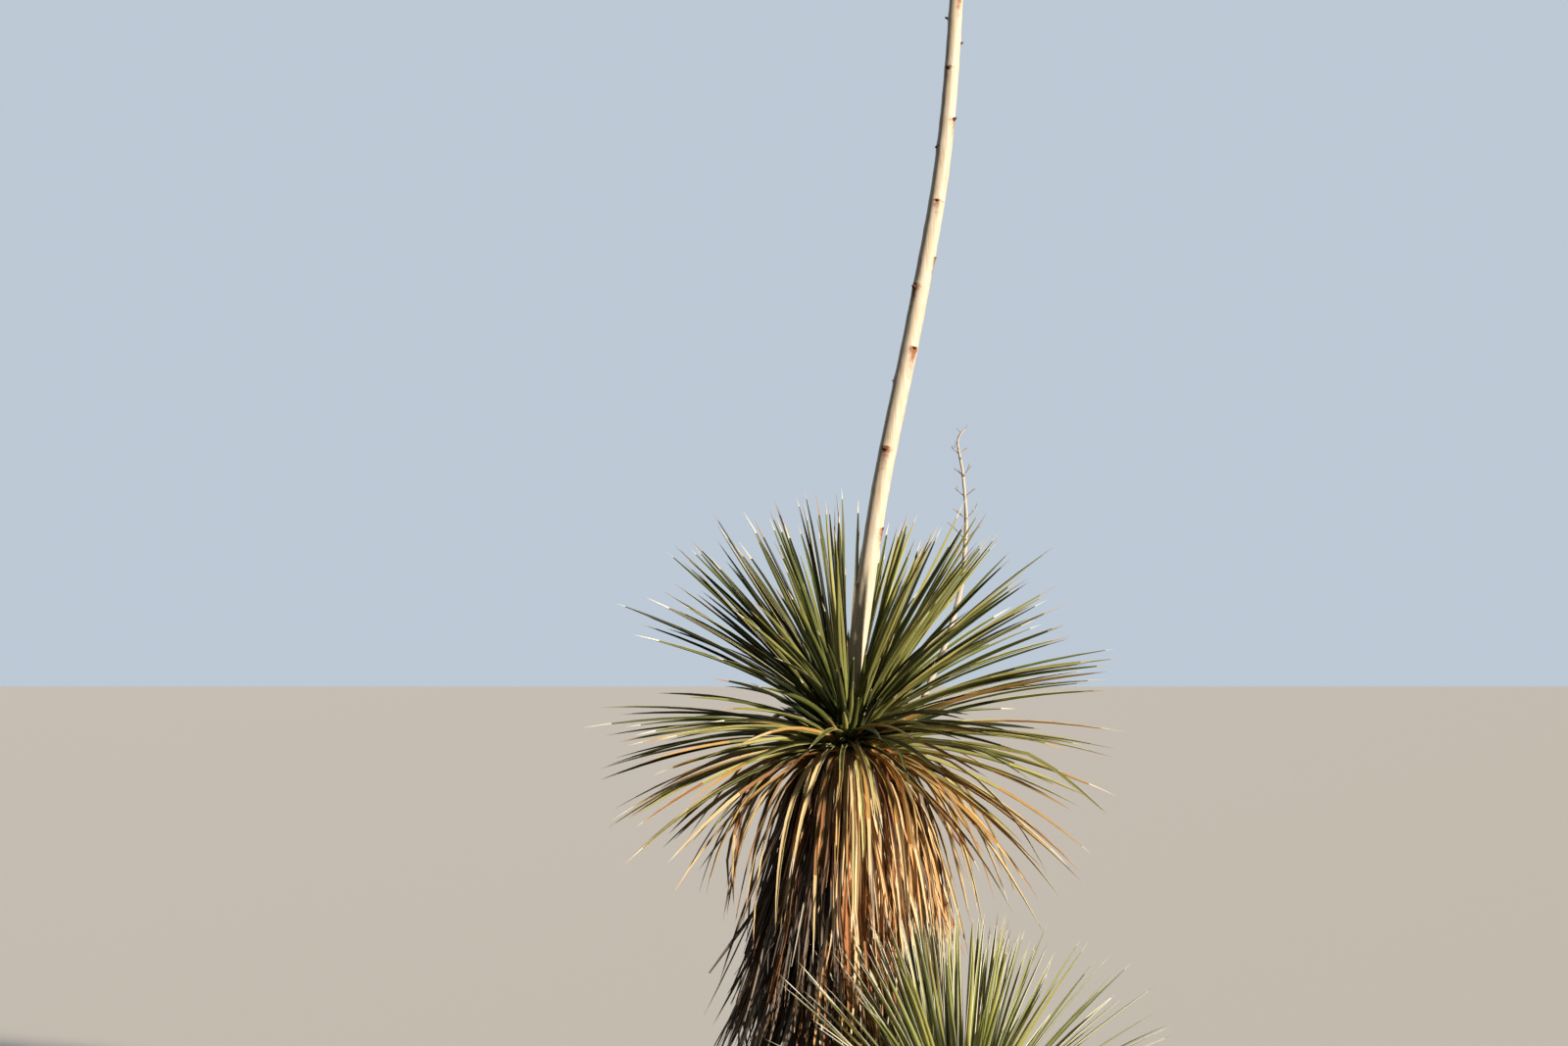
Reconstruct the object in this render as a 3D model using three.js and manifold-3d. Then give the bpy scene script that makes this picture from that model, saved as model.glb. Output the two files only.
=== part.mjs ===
// Soaptree yucca: a leaning trunk in a skirt of dead leaves, a ball of narrow leaves round its head, a tall
// bare flower stalk with a branched head, the thin stalk of an earlier year behind it, and a young offset at
// the foot. Millimetres, +Z up. The origin is on the ground at the centre of the flat cut under the trunk.
// +Y goes away from the side that the plant is usually seen from.
import * as THREE from "three";
import { mergeVertices } from "three/addons/utils/BufferGeometryUtils.js";
import Module from "manifold-3d";

const wasm = await Module();
wasm.setup();

// Driving dimensions
const CLEARANCE = 0.3; // between neighbouring solids
const GROUND_CLEARANCE = 8; // under the lowest leaf tips
const GOLDEN_ANGLE = 137.508; // degrees from one leaf of the spiral to the next
const FAR = 2000; // further out and up from a stem than any leaf or limb beside it

const TRUNK = {
  top: 1280,
  lean: 52, // how far the top stands to +X of the foot
  leanPower: 1.3,
  footRadius: 97,
  topRadius: 74,
  flare: 58, // what the root flare adds to the radius at the ground
  flareHeight: 60,
  lobes: 5,
  lobeDepth: 0.07,
  lobeHeight: 120,
  headFoot: 1115, // the leafy head rounds off from here to the top
  tipShare: 0.38,
  sides: 15,
  levels: [0, 28, 70, 140, 300, 560, 830, 1115, 1175, 1225, 1260, 1280],
};

const FLOWER_STALK = {
  // x, y, z of the middle line
  line: [
    [46, 0, 1267],
    [74, 2, 1470],
    [125, 6, 1810],
    [217, 10, 2263],
    [294, 18, 2692],
    [333, 26, 3139],
    [352, 30, 3700],
    [358, 30, 4300],
  ],
  footRadius: 24,
  tipRadius: 2.5,
  taperPower: 2.66,
  sides: 10,
  steps: 20,
};

// Short stubs up the flower stalk, closer together towards the top.
const BRACTS = {
  count: 22,
  low: 1560,
  high: 3290,
  packing: 0.8,
  firstTurn: 200,
  reach: 8, // outside the stalk's face
  sink: 5, // inside it
  width: 9,
  height: 12,
};

const HEAD = {
  count: 14,
  low: 3330,
  high: 4235,
  rise: 48, // degrees above level at the root
  turnUp: 16, // degrees that a branch turns up along its length
  turnSpread: 15,
  longest: 250,
  shortest: 60,
  lengthPower: 1.2,
  lengthSpread: 0.15,
  radius: 6,
  tipRadius: 2,
  sides: 5,
  steps: 3,
  twigs: [3, 2], // on the lowest branch and on the highest
  twigsFrom: 0.42,
  twigsTo: 0.9,
  twigRise: 38,
  twigAlong: 0.75, // how much a twig leans along its branch for each part that it leans aside
  twigLength: 42,
  twigLost: 0.4, // share of that length which the highest twigs lack
  twigRadius: 2.2,
  twigTipRadius: 1.32,
};

const OLD_STALK = {
  line: [
    [90, 30, 950],
    [140, 46, 1030],
    [191, 60, 1139],
    [252, 80, 1285],
    [306, 100, 1418],
    [350, 125, 1576],
    [358, 137, 1650],
  ],
  footRadius: 10,
  tipRadius: 6.3,
  sides: 8,
  steps: 14,
};

const OLD_HEAD = {
  line: [
    [357.8, 136.6, 1647],
    [363, 150, 1748],
    [356, 170, 1871],
    [344, 180, 1970],
    [362, 184, 1995],
  ],
  footRadius: 6.2,
  tipRadius: 2.6,
  sides: 7,
  steps: 9,
  pairs: 5,
  twigsFrom: 0.13,
  twigsTo: 0.79,
  turnSpread: 32, // degrees that a twig may stand to the front or the back of +X or -X
  longest: 58,
  shortest: 30,
  lengthSpread: 0.2,
  twigRadius: 2.2,
  twigTipRadius: 1.2,
  rise: 38,
  riseSpread: 10,
};

const OFFSET_STEM = {
  line: [
    [60, -48, 30],
    [150, -121, 33],
    [240, -194, 42],
    [300, -243, 78],
    [318, -257, 130],
    [321, -260, 186],
  ],
  footRadius: 46,
  tipRadius: 36,
  sides: 10,
  steps: 10,
};

// Each tier of leaves lies in a spiral round its stem. Every entry is [[first leaf, last leaf] on the +X
// side, [first leaf, last leaf] on the -X side]. Angles are degrees above level. A core is given as heights,
// each with its radius on the +X side and on the -X side.
const allRound = (value) => [value, value];
const even = (first, last) => allRound([first, last]);

const CROWN_UPPER = {
  name: "crown_upper",
  count: 132,
  firstIndex: 0,
  foot: even(1269, 1193),
  start: even(85, 30),
  end: even(77, -2),
  ease: even(520, 500),
  length: [
    [536, 642],
    [526, 618],
  ],
  tilt: 3,
  easeSpread: 0.1,
  halfWidth: 10,
  clumps: [
    { side: 0, spread: 0.3, at: 53, from: 46, to: 82, fadeIn: 12, fadeOut: 4, pull: 0.65 },
    { side: 1, spread: 0.35, at: 45, from: 24, to: 66, fadeIn: 5, fadeOut: 8, pull: 0.55 },
  ],
  coreTop: [
    [1250, allRound(88)],
    [1293, allRound(62)],
    [1317, allRound(40)],
  ],
};

const CROWN_LOWER = {
  name: "crown_lower",
  count: 120,
  firstIndex: 132,
  foot: even(1173, 1111),
  start: even(25, -13),
  end: even(-8, -64),
  ease: even(500, 400),
  length: [
    [642, 600],
    [618, 580],
  ],
  tilt: 4,
  easeSpread: 0.1,
  halfWidth: 9.5,
};

const SKIRT_UPPER = {
  name: "skirt_upper",
  count: 112,
  firstIndex: 256,
  foot: [
    [1082, 730],
    [1082, 730],
  ],
  start: [
    [-6, -2],
    [-42, -52],
  ],
  end: [
    [-90, -89],
    [-74, -67],
  ],
  ease: [
    [125, 105],
    [90, 80],
  ],
  length: [
    [590, 560],
    [600, 600],
  ],
  tilt: 4,
  easeSpread: 0.18,
  halfWidth: 9.5,
};

const SKIRT_LOWER = {
  name: "skirt_lower",
  count: 88,
  firstIndex: 368,
  foot: [
    [690, 150],
    [690, 150],
  ],
  start: [
    [-10, -25],
    [-56, -45],
  ],
  end: [
    [-88, -74],
    [-68, -50],
  ],
  ease: [
    [62, 52],
    [80, 60],
  ],
  length: [
    [540, 420],
    [600, 420],
  ],
  tilt: 4,
  easeSpread: 0.12,
  halfWidth: 9.5,
  coreBottom: [[110, [150, 132]]],
};

const OFFSET_CROWN = {
  name: "offset_crown",
  count: 100,
  firstIndex: 458,
  foot: even(180, 92),
  start: [
    [86, 20],
    [87, 78],
  ],
  end: [
    [80, -16],
    [86, 80],
  ],
  ease: even(480, 440),
  length: even(540, 604),
  tilt: 3,
  easeSpread: 0.1,
  halfWidth: 9.5,
  coreBottom: [[84, allRound(76)]],
  coreTop: [
    [170, allRound(72)],
    [222, allRound(34)],
  ],
};

const LEAF_SINK = 5; // how far outside the stem's face a leaf's foot lies, inside the core
const LEAF_THICKNESS = 7;
const LEAF_NARROWING = { evenly: 0.1, towardsTip: 0.45 }; // shares of the half width
const LENGTH_SPREAD = 0.09; // share of its length by which a leaf may differ from its tier's rule
const TURN_SPREAD = 2; // degrees by which it may stand beside its place in the spiral
const SHORTEN = 0.93; // what a leaf that would touch the ground keeps of its length, as often as needed
const ROOM_BETWEEN_TIERS = 6; // from a leaf's middle line to the surface that parts two tiers
const WALL_STRETCH = 1.4; // how much further than a leaf that surface goes
const ROOM_AT_LIMBS = 1; // between a leaf and the stalks
const CORE_RADII = [allRound(98), [124, 104], [150, 122]]; // at the three surfaces, from the top
const CORE_HEART = 16; // how near to the tier's centre a core's end reaches, inside the stem
const CORE_PLAY = 0.1;
const SECTOR_MARGIN = 4; // degrees that a leaf keeps from the side of its sector
const PATH_STEPS = 24; // short steps along a leaf's middle line
const BEND_PER_STRETCH = 17; // degrees of bend that one straight stretch of a leaf may stand for
const OFFSET_ROOM = 62; // radius round the offset's stem that the skirt keeps free
const SKIRT_HEART = { radius: 165, height: 1235, lean: 50 }; // round the trunk, where the offset has no leaf

const degrees = (angle) => (angle * Math.PI) / 180;
const mix = (a, b, share) => a + (b - a) * share;

// A repeatable number from 0 to 1 for each leaf and purpose.
function chance(index, purpose) {
  const wave = Math.sin(index * 12.9898 + purpose * 78.233) * 43758.5453;
  return wave - Math.floor(wave);
}
const swing = (index, purpose) => 2 * chance(index, purpose) - 1;

const materialOf = (color, roughness) => new THREE.MeshStandardMaterial({ color, roughness, metalness: 0 });
const MATERIALS = {
  bark: materialOf(0x6e5a47, 0.95),
  stalk: materialOf(0xe3cfa6, 0.7),
  oldStalk: materialOf(0xcabda6, 0.8),
  leaf: materialOf(0x5f6a35, 0.5),
  spentLeaf: materialOf(0x8f8a48, 0.6),
  strawLeaf: materialOf(0xc39a5c, 0.85),
  greyLeaf: materialOf(0x7a6a58, 0.9),
  youngLeaf: materialOf(0x77803f, 0.5),
};

// Closed surfaces

// The triangles of a flat ring's cap, from its outline in the ring's own plane.
function capFaces(outline) {
  return THREE.ShapeUtils.triangulateShape(outline, []).map(([a, b, c]) => {
    const [p, q, r] = [outline[a], outline[b], outline[c]];
    const turn = (q.x - p.x) * (r.y - p.y) - (q.y - p.y) * (r.x - p.x);
    return turn > 0 ? [a, b, c] : [a, c, b];
  });
}

const regularOutline = (sides) =>
  Array.from({ length: sides }, (_, k) => {
    const turn = (2 * Math.PI * k) / sides;
    return new THREE.Vector2(Math.cos(turn), Math.sin(turn));
  });

// A closed body through rings of points that run anticlockwise, seen from the last ring. Each four-cornered
// face is split along its shorter diagonal, and `tip` ends the body in a point.
function ringBody(rings, outline, tip) {
  const sides = rings[0].length;
  const points = rings.flat();
  const faces = capFaces(outline).map(([a, b, c]) => [a, c, b]);
  for (let ring = 0; ring + 1 < rings.length; ring++) {
    for (let k = 0; k < sides; k++) {
      const a = ring * sides + k;
      const b = ring * sides + ((k + 1) % sides);
      const [c, d] = [b + sides, a + sides];
      const shorter = points[a].distanceTo(points[c]) < points[b].distanceTo(points[d]);
      if (shorter) faces.push([a, b, c], [a, c, d]);
      else faces.push([a, b, d], [b, c, d]);
    }
  }
  const last = (rings.length - 1) * sides;
  if (tip) {
    for (let k = 0; k < sides; k++) faces.push([last + k, last + ((k + 1) % sides), points.length]);
    points.push(tip);
  } else {
    faces.push(...capFaces(outline).map((face) => face.map((corner) => corner + last)));
  }
  const geometry = new THREE.BufferGeometry().setFromPoints(points);
  geometry.setIndex(faces.flat());
  return geometry;
}

function solidOf(geometry) {
  const bare = geometry.clone();
  bare.deleteAttribute("normal");
  bare.deleteAttribute("uv");
  const merged = mergeVertices(bare);
  return new wasm.Manifold(
    new wasm.Mesh({
      numProp: 3,
      vertProperties: new Float32Array(merged.attributes.position.array),
      triVerts: new Uint32Array(merged.index.array),
    }),
  );
}

// The largest piece of a body. Scraps go, and so do the walls of sealed hollows, which fills them.
function largestPiece(body) {
  return body.decompose().reduce((best, piece) => (piece.volume() > best.volume() ? piece : best));
}

function meshOf(name, body, material) {
  const { numProp, numVert, vertProperties, triVerts } = largestPiece(body).getMesh();
  const positions = new Float32Array(numVert * 3);
  for (let k = 0; k < numVert; k++) {
    positions.set(vertProperties.subarray(k * numProp, k * numProp + 3), k * 3);
  }
  const geometry = new THREE.BufferGeometry();
  geometry.setAttribute("position", new THREE.BufferAttribute(positions, 3));
  geometry.setIndex(new THREE.BufferAttribute(triVerts, 1));
  const mesh = new THREE.Mesh(geometry, material);
  mesh.name = name;
  return mesh;
}

// Trunk

function trunkAxis(z) {
  return new THREE.Vector2(TRUNK.lean * (Math.max(0, z) / TRUNK.top) ** TRUNK.leanPower, 0);
}

function trunkRadius(z) {
  const height = Math.min(Math.max(0, z), TRUNK.top);
  const plain = mix(TRUNK.footRadius, TRUNK.topRadius, height / TRUNK.top);
  const head = Math.max(0, (height - TRUNK.headFoot) / (TRUNK.top - TRUNK.headFoot));
  const rounding = Math.sqrt(1 - head ** 2 * (1 - TRUNK.tipShare ** 2));
  return plain * rounding + TRUNK.flare * Math.exp(-height / TRUNK.flareHeight);
}

function trunkRing(z, grow) {
  const axis = trunkAxis(z);
  const depth = TRUNK.lobeDepth * Math.exp(-Math.max(0, z) / TRUNK.lobeHeight);
  return Array.from({ length: TRUNK.sides }, (_, k) => {
    const turn = (2 * Math.PI * k) / TRUNK.sides;
    const radius = trunkRadius(z) * (1 + depth * Math.cos(TRUNK.lobes * turn)) + grow;
    return new THREE.Vector3(axis.x + radius * Math.cos(turn), radius * Math.sin(turn), z);
  });
}

// The trunk, grown by some millimetres all round where something is cut clear of it.
function trunkBody(grow = 0) {
  const rings = TRUNK.levels.map((z) => trunkRing(z, grow));
  if (grow) {
    rings.unshift(trunkRing(-grow, grow));
    rings.push(trunkRing(TRUNK.top + grow, grow));
  }
  return solidOf(ringBody(rings, rings[0].map((p) => new THREE.Vector2(p.x, p.y))));
}

// Limbs: tapered rods along a smooth line

function curveOf(line) {
  const points = line.map((p) => new THREE.Vector3(...p));
  return new THREE.CatmullRomCurve3(points, false, "centripetal");
}

function taper(limb, share) {
  const lost = limb.taperPower ? share ** limb.taperPower : share;
  return mix(limb.footRadius, limb.tipRadius, lost);
}

function limbBody(limb, grow = 0) {
  const curve = curveOf(limb.line);
  const frames = curve.computeFrenetFrames(limb.steps, false);
  const rings = [];
  for (let step = 0; step <= limb.steps; step++) {
    const share = step / limb.steps;
    const middle = curve.getPointAt(share);
    const radius = taper(limb, share) + grow;
    if (grow && step === 0) middle.addScaledVector(frames.tangents[0], -grow);
    if (grow && step === limb.steps) middle.addScaledVector(frames.tangents[step], grow);
    rings.push(
      regularOutline(limb.sides).map(({ x, y }) =>
        middle
          .clone()
          .addScaledVector(frames.normals[step], x * radius)
          .addScaledVector(frames.binormals[step], y * radius),
      ),
    );
  }
  return solidOf(ringBody(rings, regularOutline(limb.sides)));
}

// Where a limb that rises steadily is at a height, and how thick, found by halving.
function limbAt(limb, z) {
  const curve = curveOf(limb.line);
  const fineness = 1e-9;
  let [low, high] = [0, 1];
  while (high - low > fineness) {
    const middle = (low + high) / 2;
    if (curve.getPointAt(middle).z < z) low = middle;
    else high = middle;
  }
  return { point: curve.getPointAt(low), radius: taper(limb, low) };
}

// Round rods that leaves keep clear of, as short straight stretches with a radius.
function stretches(limb) {
  const count = 40;
  const points = curveOf(limb.line).getSpacedPoints(count);
  return points.slice(1).map((b, k) => ({ a: points[k], b, radius: taper(limb, k / count) }));
}

// A straight three-sided twig.
function rod(from, to, footRadius, tipRadius) {
  return { line: [from, to].map((p) => p.toArray()), footRadius, tipRadius, sides: 3, steps: 1 };
}

// Leaves

const between = ([right, left], share, side) => mix(mix(...right, share), mix(...left, share), side);

// In a tier with clumps, leaves between two angles on one side of it lean together towards a third.
function clumped(clumps, angle, side) {
  return clumps.reduce((leaned, clump) => {
    const near = Math.exp(-(((side - clump.side) / clump.spread) ** 2));
    const steep = THREE.MathUtils.smoothstep(angle, clump.from, clump.from + clump.fadeIn);
    const tooSteep = THREE.MathUtils.smoothstep(angle, clump.to - clump.fadeOut, clump.to);
    return mix(leaned, clump.at, clump.pull * near * steep * (1 - tooSteep));
  }, angle);
}

// The shape of a leaf at its place in a tier: share goes from first leaf to last, side from +X to -X.
function leafShape(tier, share, azimuth, plan) {
  const side = plan.side(azimuth);
  const read = (entry) => between(entry, share, side);
  const lean = (entry) => clumped(tier.clumps ?? [], read(entry), side);
  return {
    azimuth,
    foot: read(tier.foot),
    start: lean(tier.start),
    end: lean(tier.end),
    ease: read(tier.ease),
    length: read(tier.length),
  };
}

// A stem that leaves stand on: how far its face is from the tier's centre, at a height and in a direction.
function faceDistance(stem, centre, azimuth, z) {
  const way = new THREE.Vector2(Math.cos(azimuth), Math.sin(azimuth));
  const off = centre.clone().sub(stem.axis(z));
  const along = off.dot(way);
  return -along + Math.sqrt(along ** 2 - off.lengthSq() + (stem.radius(z) + LEAF_SINK) ** 2);
}

// The middle line in the leaf's own upright plane, as [distance from the centre, height]. Its slope goes
// from start to end with a distance of ease.
function leafProfile(shape, stem, centre, stretch = 1) {
  const step = (shape.length * stretch) / PATH_STEPS;
  let reach = faceDistance(stem, centre, shape.azimuth, shape.foot);
  let height = shape.foot;
  const profile = [[reach, height]];
  for (let k = 0; k < PATH_STEPS; k++) {
    const slope = degrees(mix(shape.end, shape.start, Math.exp((-(k + 0.5) * step) / shape.ease)));
    reach += step * Math.cos(slope);
    height += step * Math.sin(slope);
    profile.push([reach, height]);
  }
  return profile;
}

// How far a point of the upright plane lies above or outside a profile. It is negative below and inside.
function sideOf([reach, height], profile) {
  let best = Infinity;
  let signed = 0;
  for (let k = 0; k + 1 < profile.length; k++) {
    const [ax, az] = profile[k];
    const [dx, dz] = [profile[k + 1][0] - ax, profile[k + 1][1] - az];
    const ahead = ((reach - ax) * dx + (height - az) * dz) / (dx * dx + dz * dz);
    const along = THREE.MathUtils.clamp(ahead, 0, 1);
    const [gapX, gapZ] = [reach - ax - along * dx, height - az - along * dz];
    const gap = Math.hypot(gapX, gapZ);
    if (gap < best) {
      best = gap;
      signed = dx * gapZ - dz * gapX < 0 ? -gap : gap;
    }
  }
  return signed;
}

// Where the cross-sections of a leaf of one, two or three straight stretches lie along it.
const STATIONS = [[0], [0, 0.42], [0, 0.24, 0.6]];

function stationsOf({ start, end, ease, length }) {
  const bend = Math.abs(start - end) * (1 - Math.exp(-length / ease));
  return STATIONS[Math.min(STATIONS.length - 1, Math.floor(bend / BEND_PER_STRETCH))];
}

function halfWidthAt(tier, share) {
  return tier.halfWidth * (1 - LEAF_NARROWING.evenly * share - LEAF_NARROWING.towardsTip * share ** 2);
}

function leafPoint(shape, centre, [reach, height]) {
  return new THREE.Vector3(
    centre.x + reach * Math.cos(shape.azimuth),
    centre.y + reach * Math.sin(shape.azimuth),
    height,
  );
}

// A three-sided blade: flat above, a keel below, and a sharp point.
function bladeBody(tier, leaf, centre) {
  const across = new THREE.Vector3(-Math.sin(leaf.shape.azimuth), Math.cos(leaf.shape.azimuth), 0);
  const at = (share) => leafPoint(leaf.shape, centre, leaf.profile[Math.round(share * PATH_STEPS)]);
  const rings = leaf.stations.map((share) => {
    const middle = at(share);
    const ahead = at(share + 1 / PATH_STEPS).sub(middle).normalize();
    const up = new THREE.Vector3().crossVectors(ahead, across).normalize();
    const width = halfWidthAt(tier, share);
    return [
      middle.clone().addScaledVector(across, -width).addScaledVector(up, LEAF_THICKNESS / 2),
      middle.clone().addScaledVector(up, -LEAF_THICKNESS / 2),
      middle.clone().addScaledVector(across, width).addScaledVector(up, LEAF_THICKNESS / 2),
    ];
  });
  return solidOf(ringBody(rings, regularOutline(3), at(1)));
}

// The shortest way between two straight stretches.
function gapBetween(a, b, c, d) {
  const [u, v, w] = [b.clone().sub(a), d.clone().sub(c), a.clone().sub(c)];
  const [uu, uv, vv, uw, vw] = [u.dot(u), u.dot(v), v.dot(v), u.dot(w), v.dot(w)];
  const clamp = (x) => THREE.MathUtils.clamp(x, 0, 1);
  const spread = uu * vv - uv * uv;
  const s = spread > 1e-9 ? clamp((uv * vw - vv * uw) / spread) : 0;
  const t = clamp((uv * s + vw) / vv);
  const back = clamp((uv * t - uw) / uu);
  return w.clone().addScaledVector(u, back).addScaledVector(v, -t).length();
}

function touches(tier, leaf, centre, obstacles) {
  const every = 3;
  for (let k = 0; k + every <= PATH_STEPS; k += every) {
    const a = leafPoint(leaf.shape, centre, leaf.profile[k]);
    const b = leafPoint(leaf.shape, centre, leaf.profile[k + every]);
    const room = halfWidthAt(tier, k / PATH_STEPS) + ROOM_AT_LIMBS;
    if (obstacles.some((o) => gapBetween(a, b, o.a, o.b) < o.radius + room)) return true;
  }
  return false;
}

// The same middle line with straight stretches between its stations.
function straighten(profile, stations) {
  const knots = [...stations.map((share) => Math.round(share * PATH_STEPS)), PATH_STEPS];
  return profile.map((_, k) => {
    const next = Math.max(1, knots.findIndex((knot) => knot >= k));
    const [from, to] = [knots[next - 1], knots[next]];
    const share = (k - from) / (to - from);
    return [mix(profile[from][0], profile[to][0], share), mix(profile[from][1], profile[to][1], share)];
  });
}

// The leaf of an index, moved into its sector and shortened where it would reach the ground.
function growLeaf(tier, number, plan) {
  const index = tier.firstIndex + number;
  const sector = 360 / plan.sectors;
  const turn = THREE.MathUtils.euclideanModulo(index * GOLDEN_ANGLE + TURN_SPREAD * swing(index, 1), 360);
  const sectorNumber = Math.floor(turn / sector);
  const within = mix(SECTOR_MARGIN, sector - SECTOR_MARGIN, turn / sector - sectorNumber);
  const azimuth = degrees(sectorNumber * sector + within);
  const shape = leafShape(tier, (number + 0.5) / tier.count, azimuth, plan);
  const tilt = tier.tilt * swing(index, 2);
  shape.start += tilt;
  shape.end = Math.max(-90, shape.end + tilt + tier.tilt * swing(index, 3));
  shape.length *= 1 + LENGTH_SPREAD * swing(index, 4);
  shape.ease *= 1 + tier.easeSpread * swing(index, 5);
  let profile = leafProfile(shape, plan.stem, plan.centre);
  while (profile[PATH_STEPS][1] < GROUND_CLEARANCE) {
    shape.length *= SHORTEN;
    profile = leafProfile(shape, plan.stem, plan.centre);
  }
  const stations = stationsOf(shape);
  return { index, shape, stations, profile: straighten(profile, stations), sector: sectorNumber };
}

// The surface that parts two tiers, at an azimuth.
function wallAt(edge, azimuth, plan) {
  return leafProfile(leafShape(edge, 0.5, azimuth, plan), plan.stem, plan.centre, WALL_STRETCH);
}

// Keeps a leaf between the surfaces above and below its tier.
function fits(leaf, plan, above, below) {
  const [ceiling, floor] = [above, below].map((edge) => edge && wallAt(edge, leaf.shape.azimuth, plan));
  const points = leaf.profile.slice(1);
  if (ceiling && points.some((p) => sideOf(p, ceiling) > -ROOM_BETWEEN_TIERS)) return false;
  return !(floor && points.some((p) => sideOf(p, floor) < ROOM_BETWEEN_TIERS));
}

// The edge between two tiers, as a tier of one leaf halfway between the last of one and the first of the
// next. The cores of both end there at one radius.
function edgeOf(upper, lower, coreRadius) {
  const halfway = (key) =>
    upper[key].map((pair, side) => {
      const value = (pair[1] + lower[key][side][0]) / 2;
      return [value, value];
    });
  const entries = ["foot", "start", "end", "ease", "length"].map((key) => [key, halfway(key)]);
  return { coreRadius, ...Object.fromEntries(entries) };
}

// An upright wedge of a sector, a little narrower than it.
function sectorBody(plan, sector) {
  const angle = degrees(360 / plan.sectors);
  const way = (turn) => new THREE.Vector2(Math.cos(turn), Math.sin(turn));
  const inset = CLEARANCE / 2 / Math.sin(angle / 2);
  const apex = plan.centre.clone().addScaledVector(way((sector + 0.5) * angle), inset);
  const corners = [sector, sector + 1].map((side) => apex.clone().addScaledVector(way(side * angle), FAR));
  const shape = new THREE.Shape([apex, ...corners]);
  return solidOf(new THREE.ExtrudeGeometry(shape, { depth: FAR, bevelEnabled: false }));
}

// The core of a whole tier, with two faces for each sector. Where another tier is above or below, its end
// follows the surface between them from inside the stem out to the core's radius.
function coreBody(tier, plan, above, below) {
  const outline = regularOutline(2 * plan.sectors);
  const ring = (place) =>
    outline.map(({ x, y }) => {
      const [reach, height] = place(Math.atan2(y, x));
      return new THREE.Vector3(plan.centre.x + reach * x, plan.centre.y + reach * y, height);
    });
  const onStem = (edge, raise) =>
    ring((azimuth) => {
      const [reach, height] = wallAt(edge, azimuth, plan)[0];
      return [reach, height + raise];
    });
  const onWall = (edge, raise) =>
    ring((azimuth) => {
      const wall = wallAt(edge, azimuth, plan);
      const radius = mix(...edge.coreRadius, plan.side(azimuth));
      const next = wall.findIndex(([reach]) => reach > radius);
      const share = (radius - wall[next - 1][0]) / (wall[next][0] - wall[next - 1][0]);
      return [radius, mix(wall[next - 1][1], wall[next][1], share) + raise];
    });
  const inside = (edge, raise) => ring(() => [CORE_HEART, edge.foot[0][0] + raise]);
  const plain = (places) =>
    places.map(([z, radii]) => ring((azimuth) => [mix(...radii, plan.side(azimuth)), z]));
  const raise = CLEARANCE / 2 + CORE_PLAY;
  const bottom = below
    ? [inside(below, raise), onStem(below, raise), onWall(below, raise)]
    : plain(tier.coreBottom);
  const top = above
    ? [onWall(above, -raise), onStem(above, -raise), inside(above, -raise)]
    : plain(tier.coreTop);
  return solidOf(ringBody([...bottom, ...top], outline));
}

// One tier of leaves as a ring of masses, each a core on the stem with its leaves fused in.
function tierMeshes(tier, plan, { above, below, obstacles, cutClear, material }) {
  const leaves = Array.from({ length: tier.count }, (_, number) => growLeaf(tier, number, plan)).filter(
    (leaf) => fits(leaf, plan, above, below) && !touches(tier, leaf, plan.centre, obstacles),
  );
  const meshes = [];
  const core = coreBody(tier, plan, above, below);
  for (let sector = 0; sector < plan.sectors; sector++) {
    const own = leaves.filter((leaf) => leaf.sector === sector);
    const blades = own.map((leaf) => bladeBody(tier, leaf, plan.centre));
    let body = wasm.Manifold.union([core, ...blades]).intersect(sectorBody(plan, sector));
    for (const other of [plan.stem.body(CLEARANCE), ...cutClear]) body = body.subtract(other);
    meshes.push(meshOf(`${tier.name}_${sector + 1}`, body, material));
  }
  return { meshes, leaves };
}

// Parts

const trunkStem = { axis: trunkAxis, radius: trunkRadius, body: trunkBody };
const offsetStem = {
  axis: (z) => {
    const { point } = limbAt(OFFSET_STEM, z);
    return new THREE.Vector2(point.x, point.y);
  },
  radius: (z) => limbAt(OFFSET_STEM, z).radius,
  body: (grow) => limbBody(OFFSET_STEM, grow),
};

// How far an azimuth has turned from one side, 0, to the opposite one, 1.
const fromRight = (azimuth) => (1 - Math.cos(azimuth)) / 2;
const AWAY_FROM_TRUNK = degrees(-40); // the way the offset leans
const STEEP_SIDE_POWER = 5; // the higher, the narrower the offset's steep side, next to the trunk
const towardsTrunk = (azimuth) => fromRight(azimuth - AWAY_FROM_TRUNK) ** STEEP_SIDE_POWER;

// The centre that a head's leaves spread from is its stem's middle at one height.
const TRUNK_CENTRE = trunkAxis(1000);
const OFFSET_CENTRE = offsetStem.axis(150);
const trunkPlan = { sectors: 8, stem: trunkStem, centre: TRUNK_CENTRE, side: fromRight };
const offsetPlan = { sectors: 6, stem: offsetStem, centre: OFFSET_CENTRE, side: towardsTrunk };

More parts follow.
